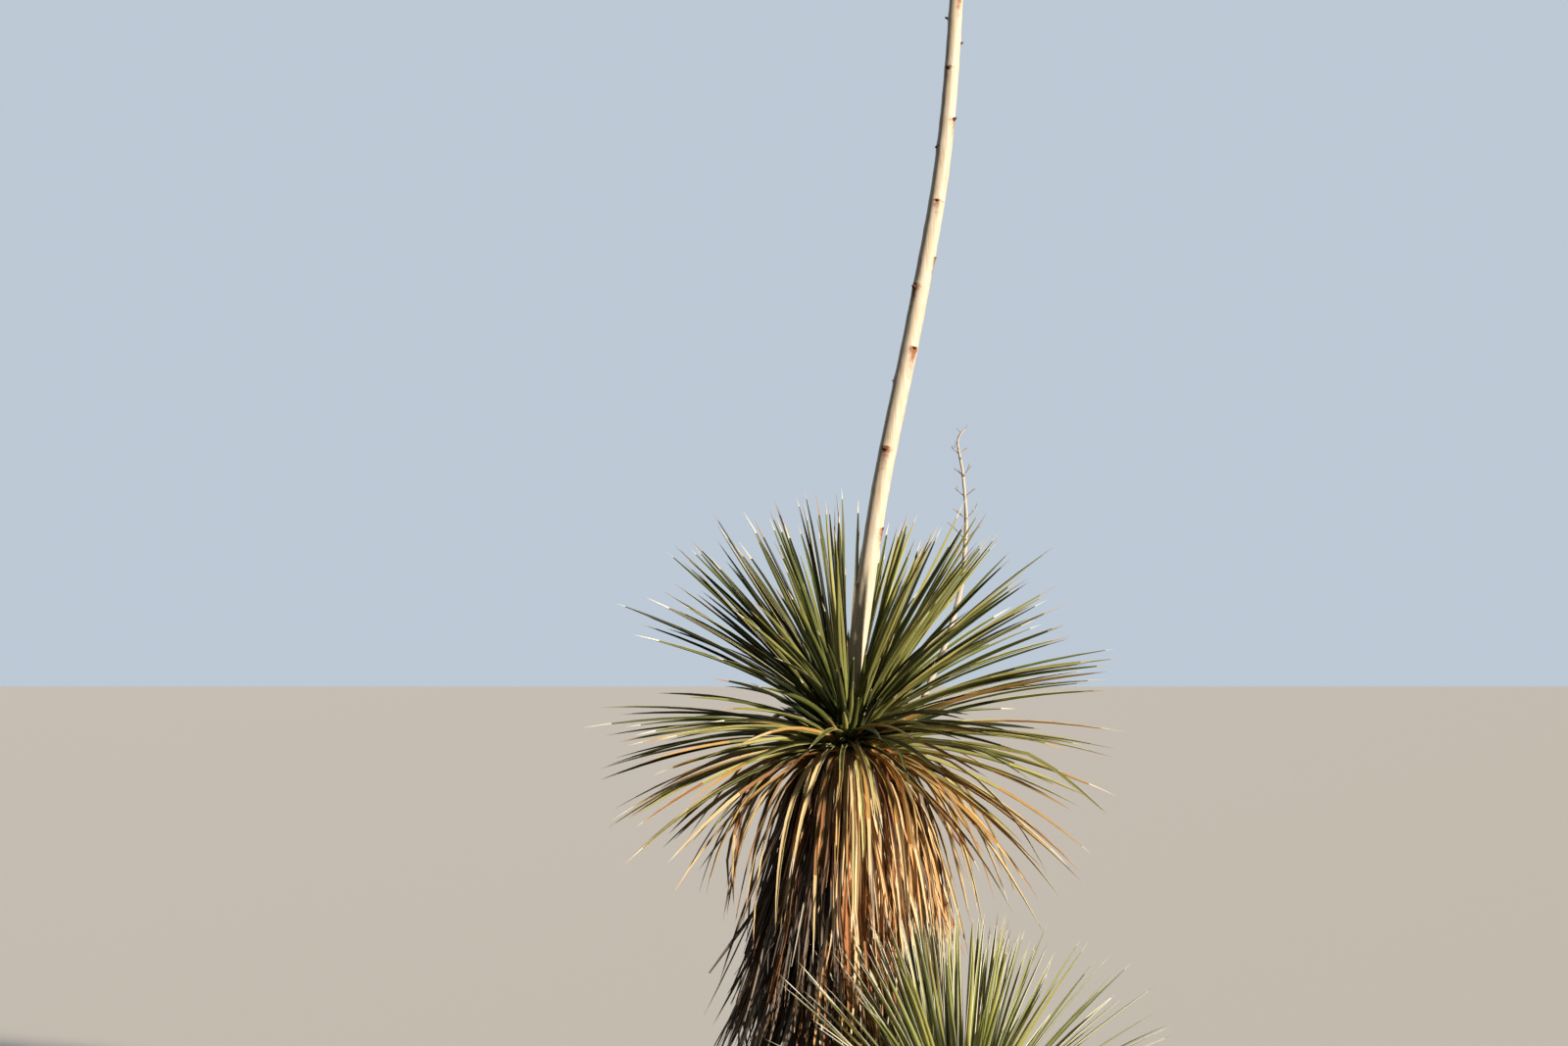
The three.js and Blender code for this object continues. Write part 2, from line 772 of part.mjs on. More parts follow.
// A bract stub: a short wedge that stands out of the stalk and points up.
function bractBody(number) {
  const z = mix(BRACTS.low, BRACTS.high, (number / (BRACTS.count - 1)) ** BRACTS.packing);
  const { point, radius } = limbAt(FLOWER_STALK, z);
  const turn = degrees(number * GOLDEN_ANGLE + BRACTS.firstTurn);
  const out = new THREE.Vector3(Math.cos(turn), Math.sin(turn), 0);
  const across = new THREE.Vector3(-out.y, out.x, 0);
  const root = point.clone().addScaledVector(out, radius - BRACTS.sink);
  const half = BRACTS.width / 2;
  const rise = new THREE.Vector3(0, 0, BRACTS.height / 2);
  const ring = [
    root.clone().addScaledVector(across, -half),
    root.clone().sub(rise),
    root.clone().addScaledVector(across, half),
  ];
  const tip = root.clone().addScaledVector(out, BRACTS.sink + BRACTS.reach).add(rise);
  return solidOf(ringBody([ring], regularOutline(3), tip));
}

function flowerStalk() {
  const bracts = Array.from({ length: BRACTS.count }, (_, number) => bractBody(number));
  const body = wasm.Manifold.union([limbBody(FLOWER_STALK), ...bracts]).subtract(trunkBody(CLEARANCE));
  return meshOf("flower_stalk", body, MATERIALS.stalk);
}

// The direction with an azimuth in radians and a rise in degrees.
function aim(turn, rise) {
  const level = Math.cos(degrees(rise));
  return new THREE.Vector3(Math.cos(turn) * level, Math.sin(turn) * level, Math.sin(degrees(rise)));
}

// A bare branch of the flower head: one tapering limb with short twigs.
function headBranch(number) {
  const share = number / (HEAD.count - 1);
  const { point } = limbAt(FLOWER_STALK, mix(HEAD.low, HEAD.high, share));
  const turn = degrees(number * GOLDEN_ANGLE + HEAD.turnSpread * swing(number, 11));
  const fullLength = mix(HEAD.longest, HEAD.shortest, share ** HEAD.lengthPower);
  const length = fullLength * (1 + HEAD.lengthSpread * swing(number, 12));
  const halfway = point.clone().addScaledVector(aim(turn, HEAD.rise), length / 2);
  const end = halfway.clone().addScaledVector(aim(turn, HEAD.rise + HEAD.turnUp), length / 2);
  const branch = {
    line: [point, halfway, end].map((p) => p.toArray()),
    footRadius: mix(HEAD.radius, HEAD.radius / 2, share),
    tipRadius: HEAD.tipRadius,
    sides: HEAD.sides,
    steps: HEAD.steps,
  };
  const twigs = Math.round(mix(...HEAD.twigs, share));
  const bodies = [limbBody(branch)];
  for (let k = 0; k < twigs; k++) {
    const place = mix(HEAD.twigsFrom, HEAD.twigsTo, (k + 0.5) / twigs);
    const root = curveOf(branch.line).getPointAt(place);
    const side = k % 2 ? 1 : -1;
    const across = new THREE.Vector3(-Math.sin(turn), Math.cos(turn), 0).multiplyScalar(side);
    const way = aim(turn, HEAD.twigRise).multiplyScalar(HEAD.twigAlong).add(across).normalize();
    const tip = root.clone().addScaledVector(way, HEAD.twigLength * (1 - HEAD.twigLost * share));
    bodies.push(limbBody(rod(root, tip, HEAD.twigRadius, HEAD.twigTipRadius)));
  }
  const body = wasm.Manifold.union(bodies).subtract(limbBody(FLOWER_STALK, CLEARANCE));
  return meshOf(`head_branch_${String(number + 1).padStart(2, "0")}`, body, MATERIALS.stalk);
}

// The top of the old stalk: its bare tip with pairs of broken twigs, one to each side.
function oldStalkHead() {
  const curve = curveOf(OLD_HEAD.line);
  const bodies = [limbBody(OLD_HEAD)];
  for (let k = 0; k < 2 * OLD_HEAD.pairs; k++) {
    const share = Math.floor(k / 2) / (OLD_HEAD.pairs - 1);
    const root = curve.getPointAt(mix(OLD_HEAD.twigsFrom, OLD_HEAD.twigsTo, share));
    const turn = degrees(180 * (k % 2) + OLD_HEAD.turnSpread * swing(k, 23));
    const way = aim(turn, OLD_HEAD.rise + OLD_HEAD.riseSpread * swing(k, 21));
    const fullLength = mix(OLD_HEAD.longest, OLD_HEAD.shortest, share);
    const tip = root.clone().addScaledVector(way, fullLength * (1 + OLD_HEAD.lengthSpread * swing(k, 22)));
    bodies.push(limbBody(rod(root, tip, OLD_HEAD.twigRadius, OLD_HEAD.twigTipRadius)));
  }
  const body = wasm.Manifold.union(bodies).subtract(limbBody(OLD_STALK, CLEARANCE));
  return meshOf("old_stalk_head", body, MATERIALS.oldStalk);
}

// The part of a body that is above the ground.
function aboveGround(body) {
  const slab = new THREE.BoxGeometry(2 * FAR, 2 * FAR, FAR).translate(0, 0, FAR / 2);
  return body.intersect(solidOf(slab));
}

function build() {
  const group = new THREE.Group();
  const oldStalk = limbBody(OLD_STALK).subtract(trunkBody(CLEARANCE));
  const cutClear = [limbBody(OLD_STALK, CLEARANCE), limbBody(FLOWER_STALK, CLEARANCE)];
  const offset = aboveGround(limbBody(OFFSET_STEM)).subtract(trunkBody(CLEARANCE));
  group.add(
    meshOf("trunk", trunkBody(), MATERIALS.bark),
    flowerStalk(),
    meshOf("old_stalk", oldStalk, MATERIALS.oldStalk),
    oldStalkHead(),
    meshOf("offset_stem", offset, MATERIALS.bark),
  );
  for (let number = 0; number < HEAD.count; number++) group.add(headBranch(number));

  const stalks = [...stretches(FLOWER_STALK), ...stretches(OLD_STALK), ...stretches(OLD_HEAD)];
  const offsetRod = stretches({ ...OFFSET_STEM, footRadius: OFFSET_ROOM, tipRadius: OFFSET_ROOM });
  const crownEdge = edgeOf(CROWN_UPPER, CROWN_LOWER, CORE_RADII[0]);
  const skirtEdge = edgeOf(CROWN_LOWER, SKIRT_UPPER, CORE_RADII[1]);
  const hemEdge = edgeOf(SKIRT_UPPER, SKIRT_LOWER, CORE_RADII[2]);
  const byOffset = [...stalks, ...offsetRod];
  const tiers = [
    [CROWN_UPPER, { below: crownEdge, obstacles: stalks, material: MATERIALS.leaf }],
    [CROWN_LOWER, { above: crownEdge, below: skirtEdge, obstacles: stalks, material: MATERIALS.spentLeaf }],
    [SKIRT_UPPER, { above: skirtEdge, below: hemEdge, obstacles: byOffset, material: MATERIALS.strawLeaf }],
    [SKIRT_LOWER, { above: hemEdge, obstacles: byOffset, material: MATERIALS.greyLeaf }],
  ];
  const skirtLeaves = [];
  for (const [tier, rules] of tiers) {
    const { meshes, leaves } = tierMeshes(tier, trunkPlan, { cutClear, ...rules });
    group.add(...meshes);
    if (rules.obstacles === byOffset) skirtLeaves.push(...leaves);
  }
  const every = 4;
  const skirtStretches = skirtLeaves.flatMap(({ shape, profile }) => {
    const places = profile.filter((_, k) => k % every === 0);
    const points = places.map((place) => leafPoint(shape, trunkPlan.centre, place));
    return points.slice(1).map((b, k) => ({ a: points[k], b, radius: SKIRT_LOWER.halfWidth }));
  });
  const skirtHeart = {
    a: new THREE.Vector3(0, 0, 0),
    b: new THREE.Vector3(SKIRT_HEART.lean, 0, SKIRT_HEART.height),
    radius: SKIRT_HEART.radius,
  };
  const offsetTier = tierMeshes(OFFSET_CROWN, offsetPlan, {
    obstacles: [...skirtStretches, skirtHeart],
    cutClear: [],
    material: MATERIALS.youngLeaf,
  });
  group.add(...offsetTier.meshes);
  return group;
}

export default build();
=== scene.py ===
import math

import bpy
import numpy as np
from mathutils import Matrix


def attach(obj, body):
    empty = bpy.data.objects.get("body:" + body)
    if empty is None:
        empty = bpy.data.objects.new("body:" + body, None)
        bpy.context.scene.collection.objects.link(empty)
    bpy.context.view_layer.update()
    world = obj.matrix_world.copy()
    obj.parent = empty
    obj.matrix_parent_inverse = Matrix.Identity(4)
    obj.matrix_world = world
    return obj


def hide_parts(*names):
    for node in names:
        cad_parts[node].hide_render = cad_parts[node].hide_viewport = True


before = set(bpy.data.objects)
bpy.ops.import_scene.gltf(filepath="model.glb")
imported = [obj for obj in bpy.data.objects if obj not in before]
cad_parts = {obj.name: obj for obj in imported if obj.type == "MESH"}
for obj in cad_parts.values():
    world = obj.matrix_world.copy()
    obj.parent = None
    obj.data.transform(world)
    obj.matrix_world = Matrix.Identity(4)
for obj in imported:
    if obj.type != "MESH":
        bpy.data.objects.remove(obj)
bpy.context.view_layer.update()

scene = bpy.context.scene

# A soaptree yucca: a trunk in a skirt of dead leaves, a ball of narrow green leaves round its head, a tall
# bare flower stalk, the thin stalk of an earlier year and a young offset at the foot. The sizes in the
# dictionaries are millimetres and degrees; meshPiece turns them to metres.
mm = 0.001
perMetre = 1000
fullTurn = 2 * math.pi
goldenAngle = 137.508
pathSteps = 48  # steps along a leaf


def addObject(name, data):
    thing = bpy.data.objects.new(name, data)
    scene.collection.objects.link(thing)
    return thing


# The camera stands 8.1 m in front of the plant, a little to its left, at chest height.
cameraSetup = dict(place=(-0.130, -8.089, 1.300), pitch=93.04, lens=70.0, sensor=36.0, farthest=4000)


def placeCamera(setup):
    data = bpy.data.cameras.new("camera")
    data.lens = setup["lens"]
    data.sensor_width = setup["sensor"]
    data.clip_end = setup["farthest"]
    scene.camera = addObject("camera", data)
    scene.camera.location = setup["place"]
    scene.camera.rotation_euler = (math.radians(setup["pitch"]), 0, 0)


placeCamera(cameraSetup)
print("camera placed")


# Numbers that repeat on every run. The purpose tells one draw from the others.

def chance(index, purpose):
    # the fractional part of 43758.5453 sin(12.9898 index + 78.233 purpose), from 0 to 1
    wave = np.sin(np.asarray(index, float) * 12.9898 + purpose * 78.233) * 43758.5453
    return wave - np.floor(wave)


def swing(index, purpose):
    return 2 * chance(index, purpose) - 1


def mix(first, last, share):
    return first + (last - first) * share


def draw(span, index, purpose):
    return mix(*span, chance(index, purpose))


def varied(spread, index, purpose):
    return 1 + spread * swing(index, purpose)


def smoothstep(low, high, value):
    t = np.clip((value - low) / (high - low), 0, 1)
    return t * t * (3 - 2 * t)


def unit(vectors):
    return vectors / np.linalg.norm(vectors, axis=-1, keepdims=True)


# Directions and smooth lines

def levelWays(turn):
    # level directions at a turn: away from the middle, and square to that
    level = np.zeros_like(turn)
    return (np.stack([np.cos(turn), np.sin(turn), level], axis=-1),
            np.stack([-np.sin(turn), np.cos(turn), level], axis=-1))


def aim(turn, rise):
    # the direction at a turn and a rise
    level = np.cos(rise)
    return np.stack([np.cos(turn) * level, np.sin(turn) * level, np.sin(rise) + 0 * turn], axis=-1)


def ringTurns(sides):
    return fullTurn * np.arange(sides) / sides


def runAlong(line):
    return np.concatenate([[0], np.cumsum(np.linalg.norm(np.diff(line, axis=0), axis=1))])


def smoothLine(points, count):
    # Between two points a cubic. Its end slopes come from the neighbouring points, with knots spaced by the
    # square root of the distances, and past each end stands a mirrored point. Returns count + 1 evenly spaced
    # places.
    p = np.array(points, float)
    p = np.vstack([2 * p[0] - p[1], p, 2 * p[-1] - p[-2]])
    gap = np.sqrt(np.linalg.norm(np.diff(p, axis=0), axis=1))[:, None, None]
    before, here, after = gap[:-2], gap[1:-1], gap[2:]
    p0, p1, p2, p3 = p[:-3, None], p[1:-2, None], p[2:-1, None], p[3:, None]
    m1 = ((p1 - p0) / before - (p2 - p0) / (before + here) + (p2 - p1) / here) * here
    m2 = ((p2 - p1) / here - (p3 - p1) / (here + after) + (p3 - p2) / after) * here
    samples = 60
    t = np.linspace(0, 1, samples, endpoint=False)[None, :, None]
    line = (2 * t**3 - 3 * t**2 + 1) * p1 + (t**3 - 2 * t**2 + t) * m1 + (3 * t**2 - 2 * t**3) * p2
    line = np.vstack([(line + (t**3 - t**2) * m2).reshape(-1, 3), p[-2]])
    run = runAlong(line)
    places = np.linspace(0, run[-1], count + 1)
    return np.stack([np.interp(places, run, line[:, axis]) for axis in range(3)], axis=1)


def framesAlong(lines, aside):
    # at each place of each line, a side square to the line and nearest to `aside`, and the way square to both
    ahead = unit(np.gradient(lines, axis=1))
    side = unit(aside - (aside * ahead).sum(-1, keepdims=True) * ahead)
    return side, np.cross(ahead, side)


# Meshes. A part is (rings, tips, lengthwise): rings has the shape bodies x rings x corners x 3, with the
# corners anticlockwise seen from the last ring, tips has one point for each body or is None for a flat end,
# and lengthwise holds how far along its body each ring lies.

patternShift = dict(across=7.0, along=53.0)  # from one body's pattern to the next one's
softEdge, rodEdge = 25, 60  # sharper edges than this are drawn sharp


def bodyFaces(rings, corners, pointed):
    ring = np.arange(rings - 1)[:, None] * corners
    k = np.arange(corners)[None, :]
    following = (k + 1) % corners
    quads = np.stack([ring + k, ring + following, ring + following + corners, ring + k + corners], axis=-1)
    faces = [quads.reshape(-1, 4), np.arange(corners)[::-1][None, :]]
    last = (rings - 1) * corners
    if pointed:
        tip = np.full(corners, rings * corners)
        faces.append(np.stack([last + k[0], last + following[0], tip], axis=-1))
    else:
        faces.append((last + np.arange(corners))[None, :])
    return faces


def joinParts(parts):
    # All bodies of all parts as one mesh. Its pattern map is (corner number x side, lengthwise), shifted a
    # little further for each body.
    points, uvs, loops, totals = [], [], [], []
    start = 0
    for rings, tips, lengthwise in parts:
        bodies, count, corners, _ = rings.shape
        size = count * corners + (tips is not None)
        body = np.arange(bodies)[:, None, None]
        place = rings.reshape(bodies, -1, 3)
        girth = np.linalg.norm(rings[:, 0, 1] - rings[:, 0, 0], axis=-1)
        across = np.arange(corners)[None, None, :] * girth[:, None, None] + patternShift["across"] * body
        along = lengthwise[:, :, None] + patternShift["along"] * body
        uv = np.stack(np.broadcast_arrays(across, along), axis=-1).reshape(bodies, -1, 2)
        if tips is not None:
            place = np.concatenate([place, tips[:, None]], axis=1)
            uv = np.concatenate([uv, uv[:, -1:]], axis=1)
        for faces in bodyFaces(count, corners, tips is not None):
            loops.append((faces[None] + start + body * size).reshape(-1))
            totals.append(np.full(bodies * len(faces), faces.shape[1]))
        points.append(place.reshape(-1, 3))
        uvs.append(uv.reshape(-1, 2))
        start += bodies * size
    return np.concatenate(points), np.concatenate(uvs), np.concatenate(loops), np.concatenate(totals)


def meshPiece(name, parts, material, nodes, sharpAt=softEdge, attributes=None):
    points, uvs, loops, totals = joinParts(parts)
    mesh = bpy.data.meshes.new(name)
    mesh.vertices.add(len(points))
    mesh.vertices.foreach_set("co", (points * mm).astype(np.float32).ravel())
    mesh.loops.add(len(loops))
    mesh.loops.foreach_set("vertex_index", loops.astype(np.int32))
    mesh.polygons.add(len(totals))
    mesh.polygons.foreach_set("loop_start", (np.cumsum(totals) - totals).astype(np.int32))
    mesh.update(calc_edges=True)
    mesh.validate()
    layer = mesh.uv_layers.new(name="lengthwise")
    layer.data.foreach_set("uv", (uvs[loops] * mm).astype(np.float32).ravel())
    for key, values in (attributes or {}).items():
        mark = mesh.attributes.new(key, "FLOAT", "POINT")
        mark.data.foreach_set("value", values.astype(np.float32).ravel())
    mesh.shade_smooth()
    mesh.set_sharp_from_angle(angle=math.radians(sharpAt))
    mesh.materials.append(material)
    piece = addObject(name, mesh)
    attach(piece, "root")
    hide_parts(*nodes)


# Materials

def toLinear(hexColour):
    channels = [int(hexColour[k:k + 2], 16) / 255 for k in (1, 3, 5)]
    return tuple(c / 12.92 if c <= 0.04045 else ((c + 0.055) / 1.055) ** 2.4 for c in channels) + (1.0,)


def link(node, output, target, socket):
    node.id_data.links.new(node.outputs[output], target.inputs[socket])


def addNode(tree, kind, inputs=None, settings=None, stops=()):
    # an input is a value or a link, as (node, output), settings are the node's own properties, and stops are
    # the (place, colour) pairs of a ramp
    node = tree.nodes.new("ShaderNode" + kind)
    for key, value in (settings or {}).items():
        setattr(node, key, value)
    for key, value in (inputs or {}).items():
        if isinstance(value, tuple) and isinstance(value[0], bpy.types.Node):
            link(*value, node, key)
        else:
            node.inputs[key].default_value = value
    for k, (place, colour) in enumerate(stops):
        node.color_ramp.elements[k].position = place
        node.color_ramp.elements[k].color = toLinear(colour)
    return node


def newMaterial(name, values):
    # values are the sockets that are the same all over the surface
    material = bpy.data.materials.new(name)
    material.use_nodes = True
    shader = material.node_tree.nodes["Principled BSDF"]
    for key, value in values.items():
        shader.inputs[key].default_value = value
    return material, material.node_tree, shader


def leafBlade(name, roughness, light, dark=None, fibre=0.9, bump=0.25):
    # Leaf blade: a waxy skin over long fibres, drawn by growth. The fibres give fine streaks that run
    # lengthwise, and the wax a broken, soft gloss. The real fibres are 0.3 mm apart, too fine to show, so
    # they are drawn wider, in streaks 45 mm long. Where no dark tone is given, only the relief shows them.
    material, tree, shader = newMaterial(name, {"IOR": 1.45, "Roughness": roughness})
    place = addNode(tree, "UVMap", settings={"uv_map": "lengthwise"})
    drawn = addNode(tree, "Mapping", {"Vector": (place, "UV"), "Scale": (perMetre / fibre, perMetre / 45, 1)})
    streaks = addNode(tree, "TexNoise", {"Vector": (drawn, "Vector"), "Scale": 1.0, "Detail": 3.0,
                                         "Roughness": 0.6}, {"noise_dimensions": "2D"})
    if dark:
        tone = addNode(tree, "ValToRGB", {"Fac": (streaks, "Fac")}, stops=((0.3, dark), (0.68, light)))
        link(tone, "Color", shader, "Base Color")
    else:
        shader.inputs["Base Color"].default_value = toLinear(light)
    relief = addNode(tree, "Bump", {"Strength": bump, "Distance": 0.6 * mm, "Height": (streaks, "Fac")})
    link(relief, "Normal", shader, "Normal")
    return material


def barkCover(name, dark, light):
    # Bark of old leaf bases, weathered grey-brown: corky ridges about 12 mm apart with crumbs of 5 mm, quite
    # matt.
    material, tree, shader = newMaterial(name, {"Roughness": 0.92})
    place = addNode(tree, "TexCoord")
    ridges = addNode(tree, "TexNoise", {"Vector": (place, "Object"), "Scale": perMetre / 12, "Detail": 5.0,
                                        "Roughness": 0.65})
    crumbs = addNode(tree, "TexVoronoi", {"Vector": (place, "Object"), "Scale": perMetre / 5})
    tone = addNode(tree, "ValToRGB", {"Fac": (ridges, "Fac")}, stops=((0.35, dark), (0.7, light)))
    link(tone, "Color", shader, "Base Color")
    height = addNode(tree, "Math", {0: (ridges, "Fac"), 1: (crumbs, "Distance")}, {"operation": "MULTIPLY"})
    relief = addNode(tree, "Bump", {"Strength": 0.7, "Distance": 4 * mm, "Height": (height, "Value")})
    link(relief, "Normal", shader, "Normal")
    return material


def driedStalk(name, pale, warm, stain, weatheredAndShaded):
    # Dried flower stalk: a smooth, hard rind, cream where it is sound, in streaks 4 mm wide and 90 mm long,
    # with grey streaks, a little weathering all round and more down the -X side, where they are painted
    # shade, and reddish-brown stains below each bract. The mesh gives the mask of grey weathering and painted
    # shade and `stain`, and the streaks and blots of 14 mm break up their edges.
    material, tree, shader = newMaterial(name, {"IOR": 1.48})
    place = addNode(tree, "TexCoord")
    drawn = addNode(tree, "Mapping", {"Vector": (place, "Object"),
                                      "Scale": (perMetre / 4, perMetre / 4, perMetre / 90)})
    streaks = addNode(tree, "TexNoise", {"Vector": (drawn, "Vector"), "Scale": 1.0, "Detail": 4.0,
                                         "Roughness": 0.6})
    blots = addNode(tree, "TexNoise", {"Vector": (place, "Object"), "Scale": perMetre / 14, "Detail": 5.0,
                                       "Roughness": 0.7})
    tone = addNode(tree, "ValToRGB", {"Fac": (streaks, "Fac")}, stops=((0.32, warm), (0.6, pale)))
    colour = (tone, "Color")
    for key, tint, pattern, edge in (("weather", weatheredAndShaded, streaks, 0.22), ("stain", stain, blots, 0.3)):
        given = addNode(tree, "Attribute", settings={"attribute_name": key})
        broken = addNode(tree, "Math", {0: (given, "Fac"), 1: (pattern, "Fac")}, {"operation": "ADD"})
        share = addNode(tree, "MapRange", {"Value": (broken, "Value"), "From Min": 1.0 - edge,
                                           "From Max": 1.0 + edge}, {"interpolation_type": "SMOOTHSTEP"})
        blend = addNode(tree, "Mix", {"Factor": (share, "Result"), 6: colour, 7: toLinear(tint)},
                        {"data_type": "RGBA"})
        colour = (blend, 2)
    link(*colour, shader, "Base Color")
    rough = addNode(tree, "MapRange", {"Value": (streaks, "Fac"), "To Min": 0.5, "To Max": 0.72})
    link(rough, "Result", shader, "Roughness")
    relief = addNode(tree, "Bump", {"Strength": 0.35, "Distance": 1.2 * mm, "Height": (streaks, "Fac")})
    link(relief, "Normal", shader, "Normal")
    return material


# Stems

trunk = dict(
    top=1280, lean=52, leanPower=1.3, footRadius=97, topRadius=74, flare=58, flareHeight=60, lobes=5,
    lobeDepth=0.07, lobeHeight=120, headFoot=1115, tipShare=0.38, crownMiddle=1000.0, rings=190, sides=110,
    scarRelief=3.4, scarHeight=34, scarsRound=13, scarMiddle=0.6, roughness=0.5,
    roughWaves=((3, 37, 0), (7, -23, 1), (17, 9.7, 2)), tipFade=40)

offsetStem = dict(
    line=[(60, -48, 30), (150, -121, 33), (240, -194, 42), (300, -243, 78), (318, -257, 130),
    (321, -260, 186)], footRadius=46, tipRadius=36, taperPower=1, crownMiddle=150.0, trunkTurn=40,
    trunkPower=5, rings=60, sides=40, roughness=0.03)

flowerStalk = dict(
    line=[(46, 0, 1267), (74, 2, 1470), (125, 6, 1810), (217, 10, 2263), (294, 18, 2692), (333, 26, 3139),
    (352, 30, 3700), (358, 30, 4300)], footRadius=24, tipRadius=2.5, taperPower=2.66, rings=800, sides=32,
    grooves=7, grooveDepth=0.012, grooveRun=160, swelling=1.5, swellingHeight=16, swellingWidth=0.9,
    swellingRound=0.3)

oldStalk = dict(
    line=[(90, 30, 950), (140, 46, 1030), (191, 60, 1139), (252, 80, 1285), (306, 100, 1418),
    (350, 125, 1576), (358, 137, 1650)], footRadius=10, tipRadius=6.3, taperPower=1, rings=90, sides=18)

oldHead = dict(
    line=[(357.8, 136.6, 1647), (363, 150, 1748), (356, 170, 1871), (344, 180, 1970), (362, 184, 1995)],
    footRadius=6.2, tipRadius=2.6, taperPower=1, rings=60, sides=14)


def trunkAxis(z):
    # leans to +X by lean (z / top) ^ leanPower
    lean = trunk["lean"] * (np.maximum(0, z) / trunk["top"]) ** trunk["leanPower"]
    return np.stack([lean, np.zeros_like(lean)], axis=-1)


def trunkRadius(z):
    # a straight taper, rounded off at the head like an ellipse, plus flare exp(-z / flareHeight) near the
    # ground
    height = np.clip(z, 0, trunk["top"])
    plain = mix(trunk["footRadius"], trunk["topRadius"], height / trunk["top"])
    head = np.maximum(0, (height - trunk["headFoot"]) / (trunk["top"] - trunk["headFoot"]))
    rounding = np.sqrt(1 - head**2 * (1 - trunk["tipShare"] ** 2))
    return plain * rounding + trunk["flare"] * np.exp(-height / trunk["flareHeight"])


def limbLine(limb, count=240):
    # the smooth line through the limb's points, and a radius from foot to tip by share ^ taperPower
    share = np.linspace(0, 1, count + 1)
    radius = mix(limb["footRadius"], limb["tipRadius"], share ** limb["taperPower"])
    return smoothLine(limb["line"], count), radius


def limbAt(limb, z):
    # the middle of a limb and its radius at a height
    line, radius = limbLine(limb)
    point = np.stack([np.interp(z, line[:, 2], line[:, axis]) for axis in range(3)], axis=-1)
    return point, np.interp(z, line[:, 2], radius)


def offsetAxis(z):
    return limbAt(offsetStem, z)[0][..., :2]


def fromRight(azimuth):
    # 0 on the +X side, 1 on the -X side
    return (1 - np.cos(azimuth)) / 2


def towardsTrunk(azimuth):
    return fromRight(azimuth + math.radians(offsetStem["trunkTurn"])) ** offsetStem["trunkPower"]


trunkPlan = {"axis": trunkAxis, "radius": trunkRadius, "centre": trunkAxis(np.array(trunk["crownMiddle"])),
             "side": fromRight}
offsetPlan = {"axis": offsetAxis, "radius": lambda z: limbAt(offsetStem, z)[1],
              "centre": offsetAxis(np.array(offsetStem["crownMiddle"])), "side": towardsTrunk}


# Leaves. Each tier is a spiral of leaves round its stem. What goes over from the first leaf to the last one
# is (first, last), or one such pair for the +X side and one for the -X side. `layers` leaves grow for each
# one of the solids, and of the further ones the share extraKept is kept, on the +X side and on the -X side.
# halfWidth is a leaf's half width near its foot. A tier names what differs from the usual one.
usualTier = dict(
    layers=1, extraKept=(1.0, 1.0), tilt=4, easeSpread=0.1, widthSpread=0.16, twist=1.6, roll=0.6,
    channel=0.5, keel=0.25, kinked=0.0, crossing=0, neatLeft=0, sway=4.0, lift=3.0, frontHung=0.0,
    frontKept=1.0, footSpread=10, thinTop=False, clumps=())

crownUpper = dict(
    usualTier, count=132, firstIndex=0, layers=3, extraKept=(0.6, 0.16), foot=(1269, 1193), start=(85, 30),
    end=(77, -2), ease=(520, 500), length=((536, 642), (526, 618)), tilt=3, halfWidth=6.8, bow=0.035,
    twist=1.2, roll=0.5, keel=0.62, sway=5.0, lift=5.0, footSpread=6, thinTop=True,
    clumps=(dict(side=0, spread=0.3, at=53, low=46, high=82, fadeIn=12, fadeOut=4, pull=0.65),
            dict(side=1, spread=0.35, at=45, low=24, high=66, fadeIn=5, fadeOut=8, pull=0.55)))

crownLower = dict(
    usualTier, count=120, firstIndex=132, layers=3, extraKept=(0.42, 0.12), foot=(1173, 1111),
    start=(25, -13), end=(-8, -64), ease=(500, 400), length=((642, 600), (618, 580)), halfWidth=6.6,
    bow=0.045, twist=1.4, keel=0.55, kinked=0.1, sway=6.0, lift=6.0, frontHung=0.9, frontKept=0.45)

# short bases of young and lost leaves, which cover the stem between the feet of the others
crownBases = dict(
    usualTier, count=190, firstIndex=800, foot=(1248, 1113), start=(84, 8), end=(74, -10), ease=(140, 80),
    length=(220, 85), tilt=6, easeSpread=0.3, halfWidth=7.6, bow=0.04, twist=0.6, roll=0.4, channel=0.4,
    keel=0.4, sway=2.0)

# leaves that arch over and hang between the crown and the skirt
crownDroop = dict(
    usualTier, count=60, firstIndex=600, foot=(1127, 1095), start=(14, -16), end=(-86, -90), ease=(270, 150),
    length=(570, 540), tilt=7, easeSpread=0.3, halfWidth=6.3, bow=0.06, twist=2.0, keel=0.3, kinked=0.25,
    sway=6.0, lift=6.0, frontKept=0.2)

# leaves of the skirt's topmost ring, which cover the stem under the crown
collar = dict(
    usualTier, count=92, firstIndex=1100, layers=2, foot=(1143, 1078), start=((0, -6), (-30, -42)),
    end=((-89, -90), (-82, -76)), ease=((80, 120), (70, 90)), length=(520, 590), tilt=5, easeSpread=0.25,
    halfWidth=5.0, bow=0.06, roll=1.0, kinked=0.2, footSpread=12)

skirtTier = dict(
    usualTier, layers=12, halfWidth=5.1, bow=0.075, roll=0.9, kinked=0.22, footSpread=24, crossing=0.25,
    widthSpread=0.45, neatLeft=0.75)

skirtUpper = dict(
    skirtTier, count=112, firstIndex=256, foot=(1082, 730), start=((-6, -2), (-42, -52)),
    end=((-90, -89), (-74, -67)), ease=((125, 105), (90, 80)), length=((590, 560), (600, 600)),
    easeSpread=0.18)

skirtLower = dict(
    skirtTier, count=88, firstIndex=368, foot=(690, 150), start=((-10, -25), (-56, -45)),
    end=((-88, -74), (-68, -50)), ease=((62, 52), (80, 60)), length=((540, 420), (600, 420)), easeSpread=0.12)

